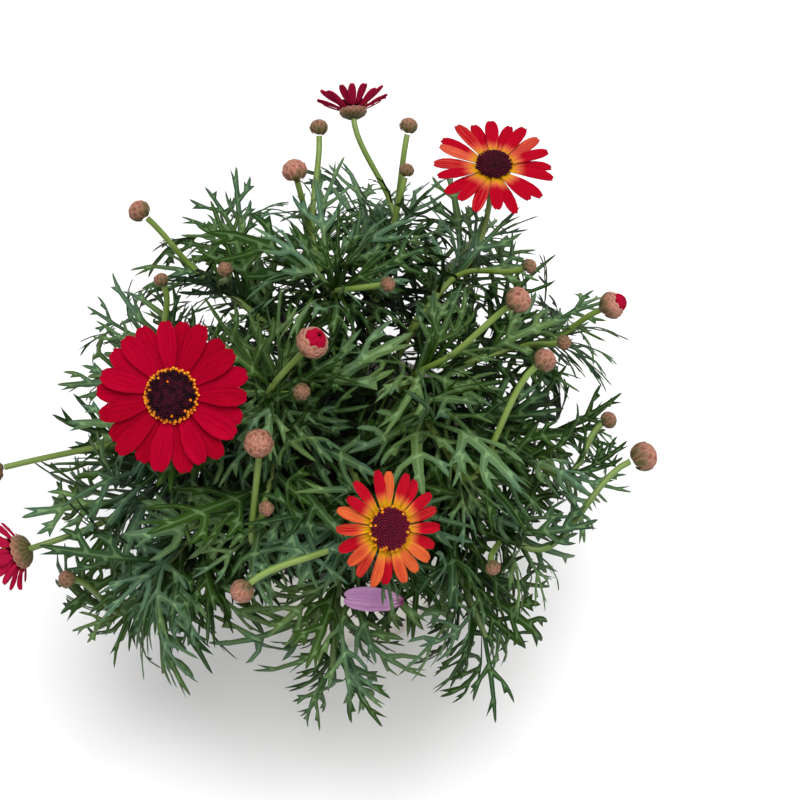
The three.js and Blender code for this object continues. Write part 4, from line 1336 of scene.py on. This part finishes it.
chance = np.random.default_rng(5)
for i, own in enumerate(leaves):
    copies = []
    for leaf in own:
        is_extra = "extra" in leaf
        shapes = leaf_shapes[leaf["kind"]] + (free_shapes if is_extra else [])
        shape = slim_leaf if "slim" in leaf else shapes[chance.integers(len(shapes))]
        if chance.random() < 0.5:
            shape = shape.mirrored()
        u, v, w = (shape.points / (LEAF_MODEL_LENGTH, LEAF_MODEL_LENGTH, 1)).T
        twist = chance.uniform(-0.5, 0.5) * u
        sway = chance.uniform(-1, 1) * (0.14 if is_extra else 0.04) * u * u
        thickness = 0.8 + leaf["length"] / 250
        bent = np.stack((u, v * np.cos(twist) + sway, w * thickness + v * np.sin(twist) * leaf["length"]), 1)
        places = leaf_places(leaf, bent, chance.uniform(0.4, 1.1))
        # Painted shade and light: a leaf's tint is low deep inside the mound and high near its surface, and
        # higher when the leaf faces up.
        tint = 0.75 * nearness_to_light(places) + 0.2 * leaf["upper"][2] - 0.16 + chance.uniform(-0.32, 0.32)
        copies.append((shape, places, np.clip(tint, 0, 1), None))
    name = f"stem_{i + 1:02d}"
    finish_piece(set_out(copies), f"{name}_leaves", leaf_green, [f"leafy_{name}"], 40)

# %% [markdown]
# ## One blade for scales and petals
#
# Bud scales and petals are both thin blades that start narrow, swell and end blunt. A blade is drawn out
# row by row like a leaf, with an even number of strips across. Its thickness comes from a Solidify
# modifier. The map gives the share along the blade and the share across it.

# %% One blade for scales and petals
BLADE_LENGTH, BLADE_HALF_WIDTH = 10, 5


def model_blade(rows, strips, thickness, tip_notches=(), creases=(), crease_depth=0.0):
    """rows: (share along, half width). tip_notches: (line between strips, how far back). creases: lines."""
    reach = rows[-1][0] * BLADE_LENGTH
    spacing = 2 * rows[-1][1] * BLADE_HALF_WIDTH / strips
    row_places = [share * BLADE_LENGTH for share, _ in rows]
    half_widths = [half * BLADE_HALF_WIDTH for _, half in rows]

    def half_at(x):
        return np.interp(x, row_places, half_widths)

    piece = draw_strip(rows, strips, BLADE_LENGTH, BLADE_HALF_WIDTH)
    for line, back in tip_notches:
        y = (line - strips / 2) * spacing
        select_vertices(piece, lambda place: place.x > reach - 0.01 and abs(place.y - y) < spacing / 4)
        shift_selected((-back * BLADE_LENGTH, 0, 0))
    for line in creases:
        share = (line - strips / 2) / (strips / 2)
        select_vertices(piece, lambda place: abs(place.y / half_at(place.x) - share) < 0.12)
        shift_selected((0, 0, crease_depth))
    face_up(piece)
    leave_edit_mode()
    apply_modifier(piece, "SOLIDIFY", thickness=thickness * MM, offset=0.0)
    return Shape(piece, lambda point: (point[0] / BLADE_LENGTH,
                                       0.5 + 0.5 * np.clip(point[1] / half_at(point[0]), -1, 1)))


def blade_shares(shape):
    """How far along its blade each point is, how far across from -1 to 1, and its height in mm."""
    return shape.points[:, 0] / BLADE_LENGTH, shape.points[:, 1] / BLADE_HALF_WIDTH, shape.points[:, 2]


def round_places(ring, turn, z):
    """Places at those distances from the Z axis, those turns round it and those heights."""
    return np.stack((ring * np.cos(turn), ring * np.sin(turn), z), 1)


SCALE_ROWS = [(0, 0.55), (0.3, 0.9), (0.6, 1.0), (0.82, 0.8), (1.0, 0.34)]
scale_shape = model_blade(SCALE_ROWS, 4, 0.3)
print("scale faces:", len(scale_shape.faces))

# %% [markdown]
# ## Scaly buds
#
# A marguerite's bud is a ball of dry scales that overlap like roof tiles: each one's tip stands over the
# foot of the next. Scales are laid on a ball from the stalk upwards, each turned by the golden angle, and
# each leans out a little at its tip. A ball under them closes the gaps. Small buds have fewer scales, and
# are still green-brown. Two buds have opened, and leave room at the top for the folded tips of their
# petals.

# %% Scales on a ball
FIRST_POLAR = 0.5


def lay_scale(shape, radius, polar, turn, length, width, lift, flatten):
    """Wraps a blade round a ball, with its foot at that angle from the underside and its tip further up."""
    along, across, out = blade_shares(shape)
    angle = polar + along * length
    r = radius * (1 + lift * np.maximum(0, along) ** 1.5 - 0.03 * across ** 2) + out
    side = across * width / np.maximum(0.35, np.sin(np.minimum(angle, math.pi * 0.94)))
    return round_places(r * np.sin(angle), turn + side, -r * np.cos(angle) * flatten)


def scales_on_ball(radius, count, last_polar, ripeness, chance):
    copies = []
    for k in range(count):
        share = (k / (count - 1)) ** 0.85
        polar = FIRST_POLAR + (last_polar - FIRST_POLAR) * share + chance.uniform(-0.04, 0.04)
        turn = k * GOLDEN_ANGLE + chance.uniform(-0.1, 0.1)
        lift = 0.055 + chance.uniform(-0.015, 0.03)
        places = lay_scale(scale_shape, radius * (0.99 - 0.07 * share), polar, turn, 1.05 - 0.3 * share,
                           0.36 - 0.07 * share, lift, 0.92)
        copies.append((scale_shape, places, min(1, 0.1 + share * ripeness + chance.uniform(-0.1, 0.1)), None))
    return copies


def ball_shape(radius, flatten):
    bpy.ops.mesh.primitive_uv_sphere_add(segments=14, ring_count=9, radius=radius * MM)
    ball = bpy.context.object
    ball.scale.z = flatten
    apply_place()
    return Shape(ball, lambda point: (0.3, 0.5))


# %% Set the scales out
CLOSED_POLAR, OPENED_POLAR = 2.75, 1.75
MANY_SCALES, FEW_SCALES, LARGE_BUD = 42, 30, 9
chance = np.random.default_rng(23)
for k, (_, _, _, place, size) in enumerate(BUDS):
    opened = k in OPEN_BUDS
    radius = size / 2 * 0.97
    count = MANY_SCALES if size > LARGE_BUD else FEW_SCALES
    ripeness = 1.0 if opened else min(1.0, max(0.35, (size - 5) / 6 + chance.uniform(-0.15, 0.15)))
    core = ball_shape(radius * 0.86, 0.9)
    copies = [(core, core.points, 0.35, None)]
    copies += scales_on_ball(radius, count, OPENED_POLAR if opened else CLOSED_POLAR, ripeness, chance)
    copies = stand_copies(copies, place, bud_stalks[k][1])
    finish_piece(set_out(copies), f"bud_{k + 1:02d}_scales", bud_scales, [f"bud_{k + 1:02d}"])

# %% [markdown]
# ## Petals
#
# A daisy's petal is a thin strap with a narrow foot, one or two creases along it and a blunt end with
# shallow notches. Each bloom's petals stand in two layers round the disc, at the turns and reaches that the
# solid model drew. Each copy has its own bow, twist and droop, because even rows of equal petals look like
# a toy.

# %% Petal shapes
STRAP_ROWS = [(0, 0.42), (0.12, 0.5), (0.28, 0.7), (0.46, 0.92), (0.64, 1.0), (0.8, 0.92), (0.91, 0.7),
              (0.985, 0.38)]
petal_shapes = [
    model_blade(STRAP_ROWS, 6, 0.32, tip_notches=((2, 0.014), (4, 0.018)), creases=(2, 4), crease_depth=-0.3),
    model_blade(STRAP_ROWS, 6, 0.32, tip_notches=((3, 0.016),), creases=(2, 4), crease_depth=-0.22),
    model_blade(STRAP_ROWS, 6, 0.32, tip_notches=((2, 0.02), (1, -0.005)), creases=(3,), crease_depth=-0.3),
]
print("petal faces:", [len(shape.faces) for shape in petal_shapes])

# %% Bending a petal
HUB_SHARE, LAYER_STEP, LAYER_RISE, PETAL_THICKNESS, ROOT_INSIDE = 0.46, 0.9, 0.09, 0.8, 1.5


def turned(x, y, z, turn):
    """Places turned round the Z axis."""
    return np.stack((x * math.cos(turn) - y * math.sin(turn), x * math.sin(turn) + y * math.cos(turn), z), 1)


def petal_slant(bloom, level):
    return math.cos(math.atan(bloom["rise"] + LAYER_RISE * level))


def petal_places(bloom, shape, turn, reach, level, chance, wild):
    """Bends a petal to the solid model's arch, at its turn round the bloom. wild: how much petals differ."""
    rise = bloom["rise"] + LAYER_RISE * level
    along, across, out = blade_shares(shape)
    distance = along * (reach + ROOT_INSIDE) - ROOT_INSIDE
    outwards = np.maximum(0, distance)
    droop = 2 * bloom["droop"] * outwards ** 2 / bloom["size"]
    height = petal_slant(bloom, level) * (rise * outwards - droop)
    cup = chance.uniform(-0.5, 0.9) * wild
    twist = chance.uniform(-0.12, 0.12) * wild
    tip_bend = chance.uniform(-1.6, 0.8) * wild
    sway = chance.uniform(-0.035, 0.035) * wild
    half = bloom["width"] / 2 * chance.uniform(0.84, 0.97)
    side = across * half + sway * distance * along
    height += out + cup * across ** 2 * (0.3 + 0.7 * along)
    height += twist * across * half * along + tip_bend * along ** 4
    z = PETAL_THICKNESS / 2 + LAYER_STEP * level + height
    return turned(bloom["disc"] * HUB_SHARE + distance, side, z, turn)


# %% Set the petals out
PETAL_FINISH = [
    dict(slot="crimson_petals", velvet=crimson_velvet, fewer_red=1.0, wild=1.0),
    dict(slot="orange_petals", velvet=orange_velvet, fewer_red=0.5, wild=1.0),
    dict(slot="orange_petals", velvet=golden_velvet, fewer_red=1.3, wild=1.2),
    dict(slot="crimson_petals", velvet=crimson_velvet, fewer_red=1.0, wild=1.1),
    dict(slot="crimson_petals", velvet=crimson_velvet, fewer_red=1.0, wild=1.3),
]
chance = np.random.default_rng(41)
for k, (bloom, (_, face), finish) in enumerate(zip(BLOOMS, bloom_stalks, PETAL_FINISH)):
    count = bloom["petals"]
    turns = [(n + (draws.next() - 0.5) * 0.25) * 2 * math.pi / count for n in range(count)]
    copies = []
    for level in (0, 1):
        for turn in turns[level::2]:
            flat_reach = (bloom["size"] / 2) * (0.94 + 0.08 * draws.next()) - bloom["disc"] * HUB_SHARE
            reach = petal_slant(bloom, level) * flat_reach
            shape = petal_shapes[chance.integers(3)]
            places = petal_places(bloom, shape, turn, reach, level, chance, finish["wild"])
            copies.append((shape, places, chance.random() ** finish["fewer_red"], shape.back))
    copies = stand_copies(copies, bloom["at"], face)
    name = f"bloom_{k + 1:02d}"
    finish_piece(set_out(copies), f"{name}_straps", finish["velvet"], [f"{name}_petals"])

# %% [markdown]
# ## The florets of the disc
#
# The disc is a low dome packed with tiny flowers in the spirals of a sunflower: each next one a golden
# angle further round and a little further out. A closed floret is a five-sided peg with a rounded head. An
# open one flares to a five-cornered rim round a hollow.

# %% Floret shapes
def model_floret(opened):
    bpy.ops.mesh.primitive_cylinder_add(vertices=5, radius=0.5 * MM, depth=0.9 * MM,
                                        location=(0, 0, 0.45 * MM))
    piece = bpy.context.object
    apply_place()
    edit(piece, "FACE")
    select_upper_faces(piece)
    if opened:
        extrude((0, 0, 0.35))
        scale_about((0, 0, 1.15), (1.35, 1.35, 1))
        bpy.ops.mesh.inset(thickness=0.2 * MM)
        shift_selected((0, 0, -0.3))
    else:
        extrude((0, 0, 0.25))
        scale_about((0, 0, 1.05), (0.45, 0.45, 1))
    leave_edit_mode()
    return Shape(piece, lambda point: (0.5, 0.5))


def dome_shape(radius, height):
    """The receptacle that carries the florets: a ball pressed flat, without its lower half."""
    bpy.ops.mesh.primitive_uv_sphere_add(segments=28, ring_count=12, radius=radius * MM)
    dome = bpy.context.object
    dome.scale.z = height / radius
    apply_place()
    edit(dome)
    bpy.ops.mesh.select_all(action="SELECT")
    bpy.ops.mesh.bisect(plane_co=(0, 0, 0), plane_no=(0, 0, 1), clear_inner=True, use_fill=True)
    leave_edit_mode()
    return Shape(dome, lambda point: (0.5, 0.5))


closed_floret, open_floret = model_floret(False), model_floret(True)
print("floret faces:", len(closed_floret.faces), "closed,", len(open_floret.faces), "open")

# %% Set the florets out
DISC_RISE, DOME_R, FLORET_SPACING = 0.34, 0.93, 0.56
DISC_FINISH = [
    dict(open_from=0.915, stray_openers=True, redness=0.0),
    dict(open_from=2.0, stray_openers=False, redness=0.07),
    dict(open_from=0.95, stray_openers=True, redness=0.2),
    dict(open_from=2.0, stray_openers=True, redness=0.0),
    dict(open_from=0.92, stray_openers=True, redness=0.0),
]
chance = np.random.default_rng(67)
for k, (bloom, (_, face), finish) in enumerate(zip(BLOOMS, bloom_stalks, DISC_FINISH)):
    r = bloom["disc"] / 2
    base = 1.7 + SEAT
    dome = dome_shape(DOME_R * r, DISC_RISE * r)
    copies = [(dome, dome.points + (0, 0, base), 0.0, None)]
    count = int((r / FLORET_SPACING) ** 2)
    for n in range(count):
        share = math.sqrt((n + 0.5) / count)
        opened = share > finish["open_from"]
        if not opened:
            likelihood = 0.16 if share > 0.78 else 0.01
            opened = chance.random() < likelihood * finish["stray_openers"] * (share > 0.3)
        shape = open_floret if opened else closed_floret
        size = chance.uniform(0.85, 1.15) * (0.8 + 0.25 * share) * (0.92 if opened else 1.0)
        lean = share ** 3 * 0.9
        x, y, up = (shape.points * size).T
        out = 0.95 * r * share + x * math.cos(lean) + up * math.sin(lean)
        z = base + DISC_RISE * r * math.sqrt(max(0, 1 - (share * 0.985) ** 2)) - 0.5
        # This draw turns nothing, but without it the florets after it would change.
        chance.uniform(0, 1.2)
        places = turned(out, y, z + up * math.cos(lean) - x * math.sin(lean), n * GOLDEN_ANGLE)
        copies.append((shape, places, 1.0 if opened else finish["redness"], None))
    copies = stand_copies(copies, bloom["at"], face)
    name = f"bloom_{k + 1:02d}"
    finish_piece(set_out(copies), f"{name}_florets", disc_florets, [f"{name}_disc"], 40)

# %% [markdown]
# ## Cups under the blooms
#
# Behind its petals a bloom sits in a shallow cup of the same scales as the bud had, green at the stalk and
# papery at the rim. Three rows of scales are laid on the cup's curve, each row turned by half a scale.

# %% Cups under the blooms
CUP_ROWS = [dict(start=0.1, length=0.5), dict(start=0.34, length=0.5), dict(start=0.58, length=0.48)]
SCALES_IN_ROW = 14


def lay_on_cup(shape, profile, start, length, turn, width, lift):
    along, across, out = blade_shares(shape)
    share = np.clip(start + along * length, 0, 1.08)
    knots = np.linspace(0, 1, len(profile))
    ring = np.interp(share, knots, profile[:, 0]) + out + lift * along ** 2 + 0.25
    z = np.interp(share, knots, profile[:, 1]) + np.maximum(0, share - 1) * 4 - 0.2 * out
    return round_places(ring, turn + across * width / np.maximum(ring, 1.0), z)


def model_cup(profile):
    """A bowl drawn up from a small circle through the profile's rings."""
    foot_r, foot_z = profile[0]
    bpy.ops.mesh.primitive_circle_add(vertices=24, radius=foot_r * MM, fill_type="NGON",
                                      location=(0, 0, foot_z * MM))
    cup = bpy.context.object
    apply_place()
    edit(cup, "EDGE")
    bpy.ops.mesh.select_all(action="SELECT")
    draw_up(foot_r, zip(np.diff(profile[:, 1]), profile[1:, 0]))
    face_outwards()
    leave_edit_mode()
    return Shape(cup, lambda point: (0.2, 0.5))


chance = np.random.default_rng(71)
for k, (bloom, (stalk, face)) in enumerate(zip(BLOOMS, bloom_stalks)):
    r, depth = bloom["disc"] / 2, CUP_DEPTH * bloom["disc"]
    profile = np.array([(0.24 * r, -0.4), (0.5 * r, 0.1 * depth), (0.74 * r, 0.32 * depth),
                        (0.9 * r, 0.66 * depth), (0.88 * r, 0.97 * depth)])
    cup_shape = model_cup(profile)
    copies = [(cup_shape, cup_shape.points, 0.12, None)]
    for row, plan in enumerate(CUP_ROWS):
        for n in range(SCALES_IN_ROW):
            turn = 2 * math.pi * (n + row * 0.5 + chance.uniform(-0.12, 0.12)) / SCALES_IN_ROW
            width = 0.2 * r * (0.9 + 0.15 * row)
            places = lay_on_cup(scale_shape, profile, plan["start"], plan["length"], turn, width, 0.35)
            copies.append((scale_shape, places, 0.16 + 0.16 * row + chance.uniform(-0.05, 0.05), None))
    copies = stand_copies(copies, stalk.points[-1], face)
    stem_name = f"leafy_stem_{bloom['stem'] + 1:02d}"
    finish_piece(set_out(copies), f"bloom_{k + 1:02d}_cup", bud_scales, [stem_name])

# %% [markdown]
# ## Folded petals of the opening buds
#
# Where a bud opens, its petals stand folded against each other like a closed umbrella. Sixteen petals are
# wrapped round a small ball at the bud's top, each a golden angle further round and a little further in.

# %% Folded petals of the opening buds
FOLDED_COUNT = 16
chance = np.random.default_rng(83)
for k in OPEN_BUDS:
    _, _, _, place, size = BUDS[k]
    radius = size / 2
    copies = []
    for n in range(FOLDED_COUNT):
        inner = n / (FOLDED_COUNT - 1)
        shape = petal_shapes[n % 3]
        places = lay_scale(shape, radius * (0.74 - 0.2 * inner), 1.5, n * GOLDEN_ANGLE, 1.42 + 0.1 * inner,
                           0.42, 0.12, 1.0)
        places = places + (0, 0, radius * (0.3 + 0.14 * inner))
        copies.append((shape, places, chance.random(), 0.4 * (1 - shape.back)))
    copies = stand_copies(copies, place, bud_stalks[k][1])
    name = f"bud_{k + 1:02d}"
    finish_piece(set_out(copies), f"{name}_folded_petals", crimson_velvet, [f"{name}_tip"])

# %% [markdown]
# ## The fallen petal
#
# One old petal has dropped on the front leaves. It has dried from crimson to lilac and kept its colour at
# the foot, where it was joined. It is a wider blade, bent into a shallow trough.

# %% The fallen petal
FALLEN_ROWS = [(0, 0.3), (0.08, 0.5), (0.25, 0.86), (0.45, 0.98), (0.65, 1.0), (0.82, 0.88), (0.93, 0.66),
               (0.99, 0.4)]
fallen_shape = model_blade(FALLEN_ROWS, 6, 0.35, tip_notches=((3, 0.05), (2, 0.01)), creases=(2, 4),
                           crease_depth=-0.35)
along_axis = unit(np.array(FALLEN["towards"], float))
up_axis = np.array(FALLEN["face"], float)
up_axis = unit(up_axis - up_axis.dot(along_axis) * along_axis)
side_axis = np.cross(up_axis, along_axis)
u, v, w = blade_shares(fallen_shape)
rise = 1.9 * v * v - 2 * (2 * u - 1) ** 2 + w + 0.25 * np.sin(9 * u) * v
places = (np.array(FALLEN["at"]) + np.outer((u - 0.5) * FALLEN["length"], along_axis)
          + np.outer(v * FALLEN["width"] / 2, side_axis) + np.outer(rise, up_axis))
fallen = set_out([(fallen_shape, places, 0.6, np.zeros(len(places)))])
finish_piece(fallen, "fallen_petal_lilac", faded_velvet, ["fallen_petal"])
